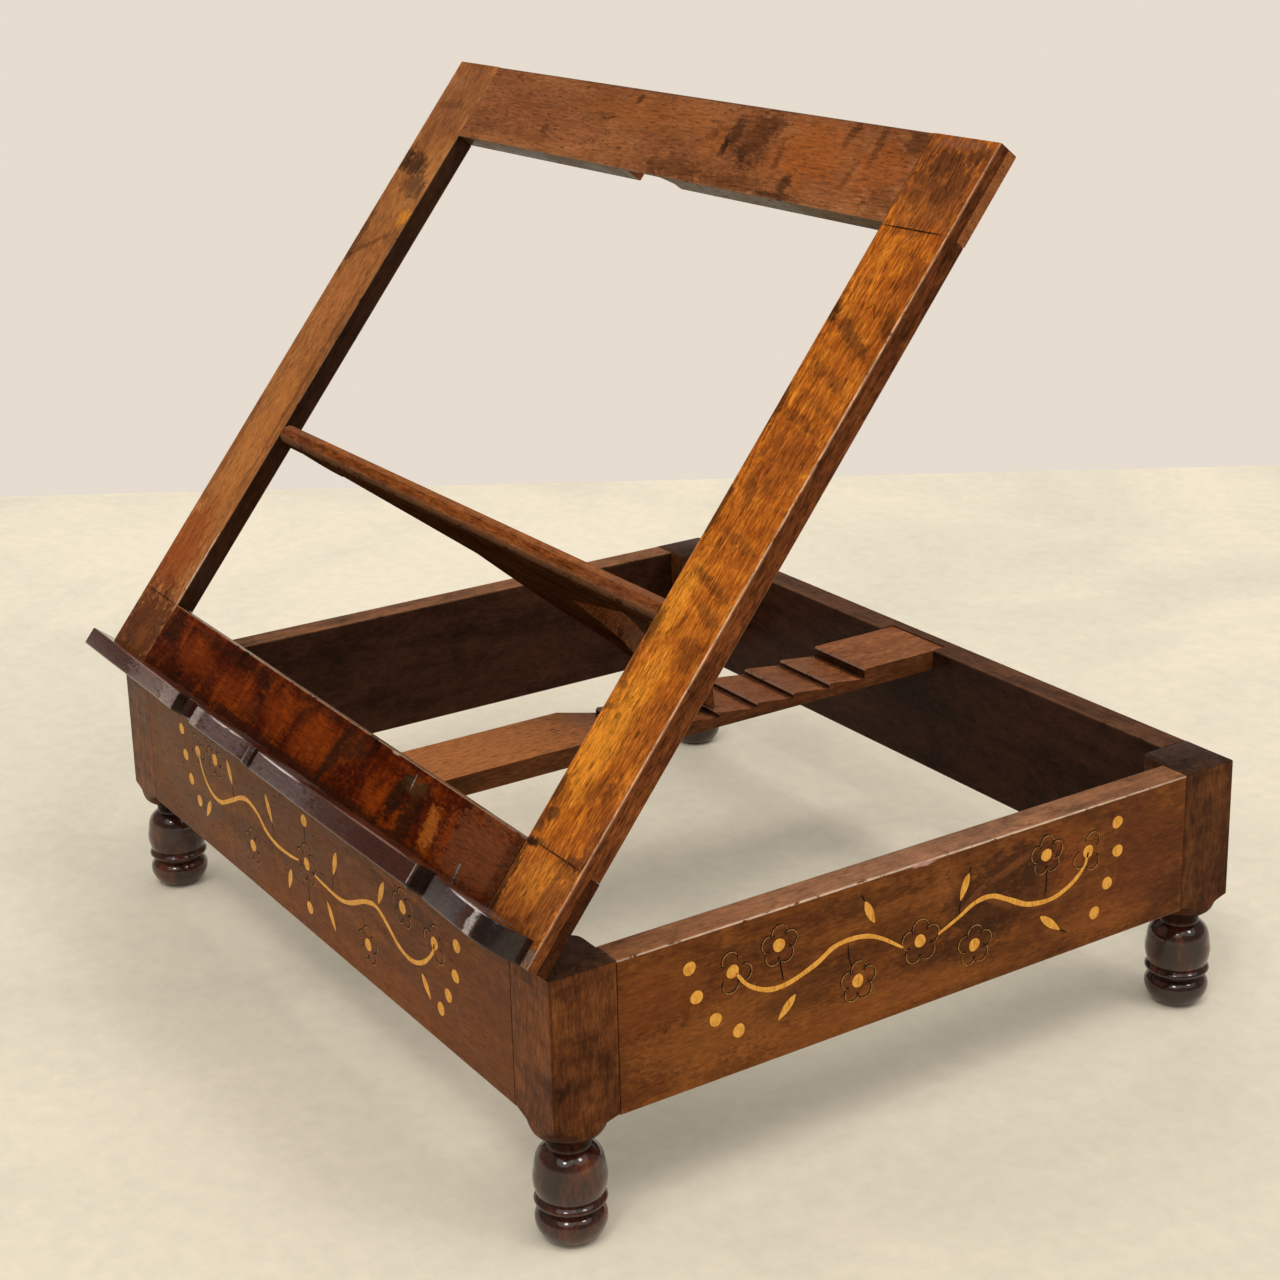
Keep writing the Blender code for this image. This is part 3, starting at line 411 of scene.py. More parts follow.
# Turned foot, in millimetres: the radius of its pad, then (radius, height) at the end of each
# curve and that curve's swell
PAD_RADIUS = 7.8
FOOT_CURVES = (
    (14.4, 6.6, 1.3), (11.7, 13.9, 1.5), (11.3, 14.4, 0), (11.3, 15.0, 0), (13.4, 15.7, 0.1),
    (13.3, 19.3, 1.5), (13.8, 20.4, -0.1), (14.5, 31.6, 0.9), (9.0, 41.2, 1.6), (9.9, 47.3, -0.4),
    (15.9, 52.0, 1.5), (16.3, 53.3, 0), (21.2, 56.0, -0.3), (22.5, 56.3, 0),
)

# Radius of each arris of a post in millimetres, by its sides out in x and y
POST_ARRISES = {(1, 1): 1.2, (-1, 1): 0.4, (1, -1): 0.4, (-1, -1): 6.0}
SHANK_START = 0.058
PAST_THE_SHANK = 0.05
TOP_EASING = 0.0006


def foot_profile():
    """Radius and height down the lathe, from the pad up to the corner of the billet."""
    profile = [np.array([[PAD_RADIUS, 0.0]])]
    for radius, height, swell in FOOT_CURVES:
        steps = 1 if swell == 0 else 12
        profile.append(bowed(profile[-1][-1], (radius, height), swell, steps))
    return np.vstack(profile) * MM


def post_shell(sign_x, sign_y):
    """Post and turned foot from one billet.

    At each height and bearing the radius is the lesser of two: the turned profile's, and the
    distance out to the side of a square billet with rounded corners. So the lathe's shoulder
    meets the flat sides in curves. The top arris is eased by a quarter circle.
    """
    corner_bearings = np.radians([45, 135, 225, 315])
    fine = np.radians(np.linspace(-9, 9, 19))
    flat = np.radians(np.linspace(-33, 33, 12))
    bearing = np.sort(np.concatenate([(corner_bearings[:, None] + fine).ravel(),
                                      (corner_bearings[:, None] - math.pi / 4 + flat).ravel()]))
    across, along = np.cos(bearing), np.sin(bearing)
    size_x, size_y = np.abs(across), np.abs(along)
    to_side = POST_HALF / np.maximum(size_x, size_y)
    billet = np.zeros_like(bearing)
    for (out_x, out_y), radius in POST_ARRISES.items():
        radius = radius * MM
        part = (np.sign(across + 1e-12) == out_x) & (np.sign(along + 1e-12) == out_y)
        inner = POST_HALF - radius
        middle = inner * (size_x + size_y)
        root = np.maximum(middle ** 2 - 2 * inner ** 2 + radius ** 2, 0)
        on_round = np.minimum(size_x, size_y) * to_side > inner
        billet = np.where(part, np.where(on_round, middle + np.sqrt(root), to_side), billet)
    profile = foot_profile()
    shank = np.linspace(SHANK_START, BASE_TOP - TOP_EASING, 10)
    turned = np.concatenate([profile[:, 0], np.full_like(shank, PAST_THE_SHANK)])
    arc = np.linspace(0, math.pi / 2, 5)[1:]
    eased = billet[None, :] - (TOP_EASING * (1 - np.cos(arc)))[:, None]
    rows = np.vstack([np.minimum(turned[:, None], billet[None, :]), eased])
    up = np.concatenate([profile[:, 1], shank, BASE_TOP - TOP_EASING * (1 - np.sin(arc))])
    grid = np.stack([rows * across * sign_x, rows * along * sign_y,
                     np.broadcast_to(up[:, None], rows.shape)], axis=-1)
    grid[..., 0] += sign_x * POST_X
    grid[..., 1] += POST_FRONT_Y if sign_y < 0 else POST_REAR_Y
    return skin(grid)


# Front edge of the ledge: (share of its length, share of its depth) where each curve ends,
# then the swell of that curve as a share of the depth
LEDGE_SHARES = (
    (0, 0.82, 0), (0.15, 0.86, 0.03), (0.286, 1, -0.05), (0.288, 0.7, 0), (0.306, 0.62, -0.05),
    (0.33, 0.72, -0.12), (0.334, 0.96, 0), (0.461, 0.74, 0.07), (0.463, 0.5, 0), (0.469, 0.5, 0),
    (0.471, 0.92, 0), (0.485, 0.92, 0.02), (0.487, 0.66, 0), (0.496, 0.66, 0), (0.499, 1, 0),
    (0.838, 0.78, 0.1), (0.84, 0.88, 0), (0.846, 0.88, 0), (0.848, 0.42, 0), (0.863, 0.42, 0),
    (0.866, 0.74, 0), (0.976, 1, 0.06), (1, 0.52, 0.12),
)

# The ledge's half length, depth, lower and upper side, the rise of its upper side towards the
# right, its rounding, and its gap to the frame, in metres
LEDGE_HALF = 0.21
LEDGE_DEPTH = 0.0188
LEDGE_FOOT = -0.0003
LEDGE_TOP = 0.0088
LEDGE_RISE = 0.0016
LEDGE_ROUND = 0.0009
LEDGE_GAP = 0.0003


def on_frame(across, up, out):
    """Row-frame points from places on the tilted reading frame."""
    x, up, out = np.broadcast_arrays(across, up, out)
    return np.stack([x, HINGE_LINE[1] + up * math.cos(TILT) - out * math.sin(TILT),
                     HINGE_LINE[2] + up * math.sin(TILT) + out * math.cos(TILT)], axis=-1)


def ledge_shell():
    """The scalloped ledge: at each station along it the section is a rounded oblong, as deep
    as the scalloped front edge there, a little thicker in its right-hand half."""
    edge = [np.array([LEDGE_SHARES[0][:2]])]
    shape = 2 * LEDGE_HALF / LEDGE_DEPTH
    for along, depth, swell in LEDGE_SHARES[1:]:
        start = edge[-1][-1] * (shape, 1)
        steps = 3 if swell == 0 else 26
        edge.append(bowed(start, (along * shape, depth), -swell, steps) / (shape, 1))
    edge = np.vstack(edge)
    stations = np.maximum.accumulate(edge[:, 0]) + np.arange(len(edge)) * 1e-6
    stations = stations / stations[-1]
    across = (stations - 0.5) * 2 * LEDGE_HALF
    depth = edge[:, 1] * LEDGE_DEPTH
    thicker = np.clip((stations - 0.55) / 0.3, 0, 1)
    top = LEDGE_TOP + LEDGE_RISE * thicker ** 2 * (3 - 2 * thicker)
    quarter = np.linspace(0, math.pi / 2, 6)
    out = np.concatenate([[0.0], LEDGE_ROUND * (np.sin(quarter) - 1),
                          LEDGE_ROUND * (np.cos(quarter) - 1), [0.0]])
    level = np.concatenate([[0.0], LEDGE_ROUND * (1 - np.cos(quarter)),
                            -LEDGE_ROUND * (1 - np.sin(quarter)), [0.0]])
    at_front = np.ones_like(out)
    at_front[[0, -1]] = 0
    at_top = np.repeat([0.0, 1.0], len(out) // 2)
    reach = np.maximum(depth[:, None] * at_front + out, 0)
    up = LEDGE_FOOT + level + (top[:, None] - LEDGE_FOOT) * at_top
    return skin(on_frame(across[:, None], up, FRAME_FACE + LEDGE_GAP + reach))


# ---- inlay

# Heights over the wood and half widths of the inlay, in millimetres
INLAY_PROUD = 0.02
INLAY_SUNK = -0.25
SCRIBE_PROUD, SCRIBE_HALF = 0.012, 0.4
# The gleam is a painted highlight: a thin light line beside each petal's scribed line.
GLEAM_PROUD, GLEAM_HALF, GLEAM_SHIFT = 0.016, 0.2, (0.38, -0.34)
VINE_HALF, LEAF_HALF, PLUG_RADIUS = 1.15, 1.85, 2.95

# A petal's middle and radius as shares of its flower's reach, and where its circle ends
PETAL_OUT, PETAL_ROUND, PETAL_OPEN = 0.58, 0.42, 2.05


def smooth_path(points, steps=10):
    """Curve through the points: between two of them it is the cubic whose slope at each is
    half the step between its neighbours."""
    path = np.asarray(points, float)
    path = np.vstack([2 * path[0] - path[1], path, 2 * path[-1] - path[-2]])
    before, here, there, after = (part[:, None, :] for part in
                                  (path[:-3], path[1:-2], path[2:-1], path[3:]))
    share = np.linspace(0, 1, steps, endpoint=False)[None, :, None]
    curve = 0.5 * (2 * here + (there - before) * share
                   + (2 * before - 5 * here + 4 * there - after) * share ** 2
                   + (3 * here - before - 3 * there + after) * share ** 3)
    return np.vstack([curve.reshape(-1, 2), path[-2]])


def raised(flat, out):
    """Shell of rings of (along, up) points, each ring's points at the same heights."""
    out = np.broadcast_to(out, flat.shape[:2])
    return skin(np.concatenate([flat, out[..., None]], axis=-1))


def strip_shell(path, half_widths, proud=INLAY_PROUD):
    """Low band along a path in millimetres, as wide at each point as half_widths says, its
    long arrises eased, with its underside sunk in the wood."""
    slope = np.gradient(path, axis=0)
    slope /= np.linalg.norm(slope, axis=1)[:, None] + 1e-9
    sideways = np.column_stack([-slope[:, 1], slope[:, 0]])
    share = np.array([-1, -1, -0.8, 0.8, 1, 1])
    out = np.array([INLAY_SUNK, proud * 0.3, proud, proud, proud * 0.3, INLAY_SUNK])
    flat = path[:, None, :] + sideways[:, None, :] * (half_widths[:, None] * share)[..., None]
    return raised(flat, out[None, :])


def plug_shell(centre, seed):
    """Round plug: rings about the centre, its outline out of true by two slow waves."""
    angle = np.linspace(0, 2 * math.pi, 28, endpoint=False)
    wave = 1 + 0.035 * np.sin(2 * angle + seed) + 0.025 * np.sin(3 * angle + 2.1 * seed)
    share = np.array([1.0, 1.0, 0.93, 0.5])
    out = np.array([INLAY_SUNK, INLAY_PROUD * 0.3, INLAY_PROUD, INLAY_PROUD])
    ring = np.stack([np.cos(angle), np.sin(angle)], axis=-1) * (PLUG_RADIUS * wave)[:, None]
    return raised(np.asarray(centre) + ring[None] * share[:, None, None], out[:, None])


def vine_shell(points):
    """Band that swells by a sine's root to its middle and wavers slowly along its length."""
    path = smooth_path(points)
    share = np.linspace(0, 1, len(path))
    half = VINE_HALF * (0.42 + 0.58 * np.sin(math.pi * share) ** 0.5)
    return strip_shell(path, half * (1 + 0.1 * np.sin(share * 41) * np.sin(share * 17)))


def leaf_shell(tip, stem):
    """Leaf: a lens between its tip and its stem, a little fuller towards the stem."""
    share = np.linspace(0, 1, 15)
    path = np.asarray(tip) + (np.asarray(stem, float) - np.asarray(tip)) * share[:, None]
    return strip_shell(path, LEAF_HALF * np.sin(math.pi * share ** 0.85) ** 0.85 + 0.06)


def line_shell(points, half, proud):
    """Scribed line: a band that tapers by a sine's power to under half its width."""
    path = smooth_path(points, 8)
    share = np.linspace(0, 1, len(path))
    return strip_shell(path, half * (0.45 + 0.55 * np.sin(math.pi * share) ** 0.4), proud)


def petal_arcs(centre, reach, bearings):
    """Scribed petals: each an open circle about a point part way out from the flower's
    middle, with its gap turned inwards."""
    turn = np.linspace(-PETAL_OPEN, PETAL_OPEN, 12)
    arcs = []
    for bearing in bearings:
        out = np.array([math.cos(bearing), math.sin(bearing)])
        circle = np.column_stack([np.cos(turn + bearing), np.sin(turn + bearing)])
        arcs.append(centre + reach * (PETAL_OUT * out + PETAL_ROUND * circle))
    return arcs


FIVE = tuple(math.radians(90 + 72 * number) for number in range(5))

# Inlay of a side rail, (along, up) in millimetres: vines, leaves (tip, stem), plugs, flowers
# (middle, reach, bearings of the petals) and scribed stems
SIDE_INLAY = {
    "vines": (
        ((-83.9, 99.5), (-78, 92.5), (-68.5, 87.6), (-58, 87.4), (-44.3, 91.7), (-34.1, 96.8),
         (-22.1, 97.2), (-11.7, 93.9), (1, 85.6)),
        ((20.2, 86), (31.3, 90.5), (40.4, 94.8), (49.6, 95.3), (59.1, 91), (70.6, 85.4),
         (84.2, 84.1), (95.8, 88.1), (103.2, 94.5), (105.2, 100.5)),
    ),
    "leaves": (
        ((-54.6, 81.3), (-63.5, 72.2)), ((-19, 112.3), (-14, 101.2)), ((36.7, 109.6), (32.2, 98)),
        ((77.9, 77.4), (89.7, 67.6)),
    ),
    "plugs": (
        (-106.2, 108.4), (-103, 95), (-94.1, 82.3), (-82.9, 73.9), (122.3, 110.4), (123, 96.5),
        (117.3, 82.3), (110.1, 69.9),
    ),
    "flowers": (
        ((-85.6, 100.9), 9.2, (1.85, -0.3, 4.45)), ((-62.8, 105.7), 9, FIVE),
        ((-22.6, 77.4), 9.2, FIVE), ((40.4, 75.1), 9.4, FIVE), ((80.6, 105.9), 9.2, FIVE),
        ((10.4, 85.8), 10.2, FIVE), ((105.2, 100.9), 9.4, (1.15, 3.65, -1.15)),
    ),
    "stems": (
        ((-62.8, 100), (-61.8, 95), (-60.8, 89.6)), ((-25.5, 84), (-27.4, 90), (-27.8, 95.5)),
        ((38, 112.6), (36.7, 109.6)), ((32.2, 98), (31.5, 92)), ((-20.9, 115.6), (-19, 112.3)),
        ((89.7, 67.6), (93.4, 65.6)), ((80.6, 100), (81, 92.5), (80.2, 86)),
    ),
}

# Inlay of the front rail, the same way
FRONT_INLAY = {
    "vines": (
        ((-121, 102), (-117, 93.5), (-109, 86.6), (-97.5, 84.9), (-84, 90.4), (-72, 96),
         (-62.5, 97.6), (-52.1, 94.6), (-43.2, 89), (-31.7, 86.3), (-18, 86.4), (-8.5, 87.6)),
        ((8.2, 86.4), (19.1, 85.2), (33.4, 84.6), (44.3, 87.2), (59, 93.6), (69.8, 95.5),
         (80, 90.8), (88.5, 85.6), (97.5, 83.1), (106, 84.2), (114.2, 88.6), (120.6, 95.1),
         (122.4, 99.6)),
    ),
    "leaves": (
        ((-85.5, 111.2), (-80.8, 99.5)), ((-42, 108.6), (-35.8, 96)), ((32.4, 106.8), (27.8, 94.2)),
        ((78.3, 110.3), (71.8, 97.5)), ((-17.6, 79.5), (-21.6, 68.6)), ((19.7, 78.2), (27, 66.2)),
        ((109.8, 81), (116.7, 71.8)), ((-109.8, 80.9), (-116.6, 70.4)),
    ),
    "plugs": (
        (141.9, 106.8), (139.6, 92.3), (132.6, 80.6), (125.5, 71.5), (-141, 109.1), (-138.2, 96.1),
        (-133.3, 84.7), (-124.4, 76), (0.1, 110.3), (0.6, 67.4),
    ),
    "flowers": (
        ((0.1, 89), 10, FIVE), ((122.4, 99.9), 9, (1.3, -0.8, 3)),
        ((-121.8, 103.3), 9, (1.9, 3.9, 0.2)), ((94.9, 105.2), 8.8, FIVE),
        ((-100.5, 106), 8.8, FIVE), ((59.5, 73.2), 8.8, FIVE), ((-60.6, 75.5), 8.8, FIVE),
    ),
    "stems": (
        ((0.1, 107), (-0.2, 103), (-0.3, 98.6)), ((0.6, 70.4), (0.5, 74), (0.4, 79.4)),
        ((-80.8, 99.5), (-80, 93)), ((27.8, 94.2), (26.6, 86.5)), ((-35.8, 96), (-34.6, 88)),
    ),
}


def lay_inlay(name, pattern, to_face):
    """The pale inlay, the dark scribing and its gleam, a painted highlight in bronze beside it, on
    one rail.
    """
    pale = [vine_shell(points) for points in pattern["vines"]]
    pale += [leaf_shell(tip, stem) for tip, stem in pattern["leaves"]]
    plugs = [*pattern["plugs"], *(flower[0] for flower in pattern["flowers"])]
    pale += [plug_shell(centre, number * 1.7) for number, centre in enumerate(plugs)]
    petals = [arc for flower in pattern["flowers"] for arc in petal_arcs(*flower)]
    dark = [line_shell(line, SCRIBE_HALF, SCRIBE_PROUD) for line in (*pattern["stems"], *petals)]
    gleam = [line_shell(arc[2:11] + GLEAM_SHIFT, GLEAM_HALF, GLEAM_PROUD) for arc in petals]
    for suffix, shells, material in (("inlay", pale, PALE), ("scribing", dark, DARK_LINE),
                                     ("scribe_gleam", gleam, GLINT_LINE)):
        points, faces = joined(shells)
        placed = np.column_stack(to_face(*(points * MM).T))
        make_piece(f"{name}_{suffix}", (placed, faces), material, "base", 50)


def onto_right(along, up, out):
    return RIGHT_FACE + out, along, up


def onto_left(along, up, out):
    return -RIGHT_FACE - out, along, up


def onto_front(along, up, out):
    return along, FRONT_FACE - out, up


PALE = inlay_finish()
DARK_LINE = scribe_finish("scribed_line", SCRIBE_DARK)
# The gleam beside the scribing is a painted highlight.
GLINT_LINE = scribe_finish("scribed_gleam", SCRIBE_GLINT_TONE)

# ---- woods of this lectern

# Tones of the marks, linear
BURN = (0.012, 0.005, 0.002)
SOOT = (0.034, 0.012, 0.004)
UMBER = (0.095, 0.028, 0.007)
REDDISH = (0.19, 0.042, 0.008)
ORANGE = (0.36, 0.105, 0.014)
AMBER = (0.68, 0.245, 0.02)
GLOW = (0.222, 0.034, 0.001)
# A light tone for rubbed arrises: wear, and also a painted highlight along them.
WEAR_AND_GLINT = (0.64, 0.47, 0.35)
CLOUDY = (0.036, 0.012, 0.004)
# Inner faces of the base: dirt and painted shade.
INSIDE_DIRT_AND_SHADE = (0.03, 0.011, 0.006)
# Tops of the rails: their tone with a painted sheen from above.
TOP_TONE_AND_SHEEN = (0.24, 0.098, 0.04)

# Ways that sides face, on the base and then on the reading frame and the prop
RIGHT, LEFT, REAR, FRONT = (1, 0, 0), (-1, 0, 0), (0, 1, 0), (0, -1, 0)
UP, DOWN = (0, 0, 1), (0, 0, -1)
UP_FRAME, DOWN_FRAME, BEHIND_FRAME = (0, 0.618, 0.786), (0, -0.618, -0.786), (0, 0.786, -0.618)
UNDER_PROP, PROP_EDGE = (0, -0.66, -0.751), (0, -0.985, 0.17)
ON_FRAME = {"place": frame_place, "turn": TILT}

STILE_RIGHT = wood_finish(
    "amber_stile_right", "Y", ((0.15, 0.03, 0.003), (0.405, 0.104, 0.009), (0.72, 0.245, 0.02)),
    **ON_FRAME, ripple=0.12, roughness=0.3, streak=0.28, shine=0.04, fibre=0.6,
    mottle=0.14, flecks=0.6,
    spots=(
        (181, 150, 7, 17, AMBER, 0.65), (186, 90, 10, 27, AMBER, 0.75),
        (191, 117, 6, 15, AMBER, 0.5), (195, 20, 24, 24, (0.3, 0.092, 0.018), 0.55),
        (197, 30, 11, 9, AMBER, 0.35), (177, 8, 2.4, 12, SOOT, 0.8), (195, 6, 26, 8, UMBER, 0.65),
        (208, 24, 8, 17, (0.2, 0.058, 0.014), 0.7, 6),
        (212.4, 52, 3.4, 12, (0.14, 0.04, 0.012), 0.7),
        (209, 42.5, 7, 2.2, (0.09, 0.03, 0.011), 0.65, 4),
        (204, 96, 10, 16, (0.3, 0.08, 0.012), 0.35), (206, 68, 8, 10, (0.26, 0.07, 0.012), 0.35),
        (180.5, 54.5, 4.6, 2.8, (0.06, 0.024, 0.009), 0.8, 8),
        (177, 47.5, 3.4, 2.2, (0.07, 0.026, 0.009), 0.7, -10),
        (181, 41.6, 6.5, 2.0, (0.075, 0.03, 0.01), 0.75, 12), (178.5, 111, 2.6, 2.0, UMBER, 0.65),
        (175.8, 119, 2, 7, UMBER, 0.6), (178.6, 101, 3.6, 1.6, UMBER, 0.6, 20),
        (186, 99, 1.6, 1.4, UMBER, 0.6), (197, 216, 17, 15, REDDISH, 0.5),
        (208, 299, 7, 10, REDDISH, 0.6), (208, 105, 6, 13, REDDISH, 0.4),
        (207, 60, 6, 14, REDDISH, 0.35), (194, 254, 16, 2.6, UMBER, 0.38, -20),
        (202, 240, 12, 3, UMBER, 0.36, -18), (191, 234, 12, 2.6, UMBER, 0.45, -12),
        (194, 161, 15, 2.2, UMBER, 0.5, -15), (203, 149, 10, 2.6, UMBER, 0.5, -15),
        (206, 132, 8, 6, UMBER, 0.5, -20), (199, 71, 9, 5, UMBER, 0.45, 20),
        (198, 180, 12, 2.4, UMBER, 0.4, -12), (194.6, 272, 17, 3.2, UMBER, 0.65, -26),
        (176.5, 281, 4, 5, BURN, 0.75), (211, 279, 3.6, 4.4, SOOT, 0.6),
        (199, 284, 0.4, 4, BURN, 0.6, 35), (195, 286, 0.4, 3, BURN, 0.45, -50),
        (194, 344, 21, 22, (0.165, 0.05, 0.017), 0.78), (186, 330, 9, 6, ORANGE, 0.6),
        (207, 330, 5, 7, (0.24, 0.07, 0.015), 0.6), (190, 352, 8, 6, SOOT, 0.5, 20),
        (197, 338, 9, 4, UMBER, 0.6, -30), (204, 346, 6, 8, UMBER, 0.5, 30),
        (184, 336, 5, 3, UMBER, 0.45), (207, 357, 8, 4, SOOT, 0.45), (180, 345, 4, 4, UMBER, 0.5),
        (193, 361, 14, 2.4, (0.26, 0.1, 0.05), 0.5), (176, 238, 1.8, 11, SOOT, 0.7),
        (176, 188, 2.4, 12, SOOT, 0.7), (177, 137, 2.8, 9, SOOT, 0.65),
        (176.4, 64, 2.2, 6, SOOT, 0.7), (180, 60, 4, 5, UMBER, 0.4),
        (176.2, 26, 2.2, 13, SOOT, 0.7), (187, 200, 3, 8, UMBER, 0.45, 10),
        (178, 41, 5, 1.6, BURN, 0.75), (194.5, 321.2, 19.6, 0.42, BURN, 0.95, 0.8),
        # The light line down the right arris is wear and a painted highlight.
        (198, 41.6, 17, 0.4, BURN, 0.85), (214.4, 186, 0.42, 182, (0.62, 0.38, 0.24), 0.95),
        # A painted highlight on the broken corner at the foot.
        (211, 3, 4.5, 4, (0.16, 0.12, 0.09), 0.8),
    ),
    # The sides are darker than the face: partly the wood's own tone, partly painted shade.
    sides=((RIGHT, (0.1, 0.028, 0.008), 0.95), (LEFT, (0.04, 0.013, 0.005), 0.85),
           (BEHIND_FRAME, (0.12, 0.04, 0.014), 0.8)))

STILE_LEFT = wood_finish(
    "amber_stile_left", "Y", ((0.115, 0.033, 0.009), (0.32, 0.112, 0.027), (0.52, 0.2, 0.048)),
    **ON_FRAME, ripple=0.06,
    spots=(
        (-190, 132, 14, 52, (0.45, 0.15, 0.028), 0.5),
        (-195, 222, 12, 30, (0.4, 0.13, 0.032), 0.45), (-180, 271, 5, 5, AMBER, 0.7),
        (-200, 66, 17, 26, (0.27, 0.055, 0.005), 0.8), (-206, 52, 12, 6, REDDISH, 0.5),
        (-195, 19, 28, 25, (0.082, 0.016, 0.002), 0.88),
        (-190, 17, 6, 8, (0.23, 0.062, 0.008), 0.6), (-198, 252, 16, 1.8, UMBER, 0.6, 30),
        (-212, 254, 3, 18, SOOT, 0.65), (-199, 302, 12, 6, SOOT, 0.8, -5),
        (-187, 289, 9, 7, (0.085, 0.038, 0.014), 0.75, -25), (-211, 304, 4, 8, SOOT, 0.8),
        (-195, 345, 22, 22, (0.23, 0.078, 0.028), 0.6), (-206, 351, 14, 3, (0.4, 0.16, 0.06), 0.45),
        # The light line down the inner arris is wear and a painted highlight.
        (-200, 338, 14, 2.4, UMBER, 0.4, 6), (-175.3, 62, 0.7, 22, WEAR_AND_GLINT, 0.8),
        (-181, 182, 1.6, 80, UMBER, 0.45), (-194.5, 40.5, 19.6, 0.5, BURN, 0.7),
    ),
    # The inner side is near black: partly the wood's own tone, partly painted shade.
    sides=((RIGHT, (0.018, 0.006, 0.003), 0.96), (LEFT, (0.1, 0.032, 0.011), 0.85),
           (BEHIND_FRAME, (0.11, 0.038, 0.014), 0.8)))

RAIL_TOP = wood_finish(
    "red_rail_top", "X", ((0.105, 0.029, 0.009), (0.252, 0.084, 0.026), (0.395, 0.15, 0.046)),
    **ON_FRAME, roughness=0.33, streak=0.08, mottle=0.15,
    spots=(
        (107, 346, 28, 14, (0.33, 0.082, 0.009), 0.62),
        (155, 344, 16, 13, (0.29, 0.068, 0.008), 0.6), (40, 343, 12, 7, ORANGE, 0.4),
        (-20, 352, 60, 8, ORANGE, 0.3), (-120, 341, 40, 8, (0.2, 0.052, 0.016), 0.35),
        (61, 348, 20, 13, UMBER, 0.45), (50, 349, 5, 7, SOOT, 0.65),
        (68, 347, 9, 12, UMBER, 0.7, 10), (74, 355, 8, 6, UMBER, 0.65),
        (48, 341, 2.6, 4, BURN, 0.7), (62, 340, 4, 4, SOOT, 0.6), (35, 346, 4, 3, UMBER, 0.5),
        (127, 358, 2.4, 8, SOOT, 0.5, -8), (147, 355, 2.6, 9, SOOT, 0.5, 6),
        (168, 359, 7, 6, SOOT, 0.5), (101, 330, 4.6, 4, SOOT, 0.72),
        (99, 323.5, 15, 2.4, SOOT, 0.65), (19, 327, 20, 6.5, UMBER, 0.65),
        (67, 326, 26, 4.5, UMBER, 0.55), (165, 329, 9, 8, UMBER, 0.4),
        (88, 343, 2, 8, UMBER, 0.5, 12), (139, 340, 2, 8, UMBER, 0.4, -6),
        (-184, 351, 14, 3.6, (0.38, 0.15, 0.06), 0.4), (-192, 346, 9, 2.4, UMBER, 0.4),
        (-100, 335, 3, 2.6, UMBER, 0.6), (-35, 359, 2, 2.6, SOOT, 0.65),
        (-62, 346, 16, 3, UMBER, 0.3, 4), (-146, 332, 18, 4, UMBER, 0.3),
        (0, 363.6, 190, 0.5, (0.05, 0.03, 0.02), 0.7),
    ),
    # The rail's lower edge, facing down into the opening, is darker: painted shade.
    sides=((DOWN_FRAME, (0.06, 0.036, 0.014), 0.92), (BEHIND_FRAME, (0.12, 0.04, 0.014), 0.8)))

RAIL_BOTTOM = wood_finish(
    "red_rail_bottom", "X", ((0.008, 0.001, 0.0), (0.07, 0.0075, 0.0002), (0.215, 0.038, 0.001)),
    **ON_FRAME, ripple=0.22, roughness=0.24, shine=0.02, streak=0.06,
    mottle=0.2, flecks=0.35, burl=(44, 18, 14, 9),
    spots=(
        (-129, 24, 18, 8, GLOW, 0.45), (-80, 23, 17, 7, GLOW, 0.25), (-35, 26, 12, 8, GLOW, 0.35),
        (5, 24, 16, 11, GLOW, 0.5), (-165, 30, 11, 9, BURN, 0.55), (-53, 23, 4, 12, BURN, 0.45, 10),
        (-60, 34, 8, 5, BURN, 0.45), (-15, 31, 7, 5, BURN, 0.4), (24, 23, 4, 15, BURN, 0.75, -8),
        (-93, 36, 52, 3.0, BURN, 0.45), (0, 38, 30, 2.6, BURN, 0.45),
        (152, 24, 26, 19, (0.146, 0.043, 0.015), 0.78), (37, 32, 11, 6, SOOT, 0.6),
        (72, 20, 4, 11, GLOW, 0.75, -12), (61, 22, 3, 9, GLOW, 0.5, -8),
        (83, 26, 5, 12, BURN, 0.8, -10), (97, 23, 7, 14, BURN, 0.75),
        (115, 22, 4.6, 10, (0.36, 0.1, 0.011), 0.7, 15), (128, 24, 3.4, 10, GLOW, 0.5, 12),
        (90, 33, 8, 3.6, (0.07, 0.035, 0.012), 0.5),
        # The short light line on the upper arris is wear and a painted highlight.
        (88.5, 34, 0.5, 3.6, (0.26, 0.22, 0.17), 0.6, 10), (66, 40, 3, 0.6, WEAR_AND_GLINT, 0.5),
        # A painted shadow: the dark strip along the rail just above the ledge.
        (0, 10.5, 176, 2.0, (0.03, 0.008, 0.003), 0.75), (171, 20, 3.4, 22, SOOT, 0.5),
        # A painted highlight along the rail's upper arris.
        (0, 40.5, 176, 0.35, (0.3, 0.17, 0.08), 0.6),
    ),
    sides=((BEHIND_FRAME, (0.09, 0.03, 0.011), 0.8),
           (RIGHT, (0.045, 0.014, 0.005), 0.95), (LEFT, (0.045, 0.014, 0.005), 0.95)))

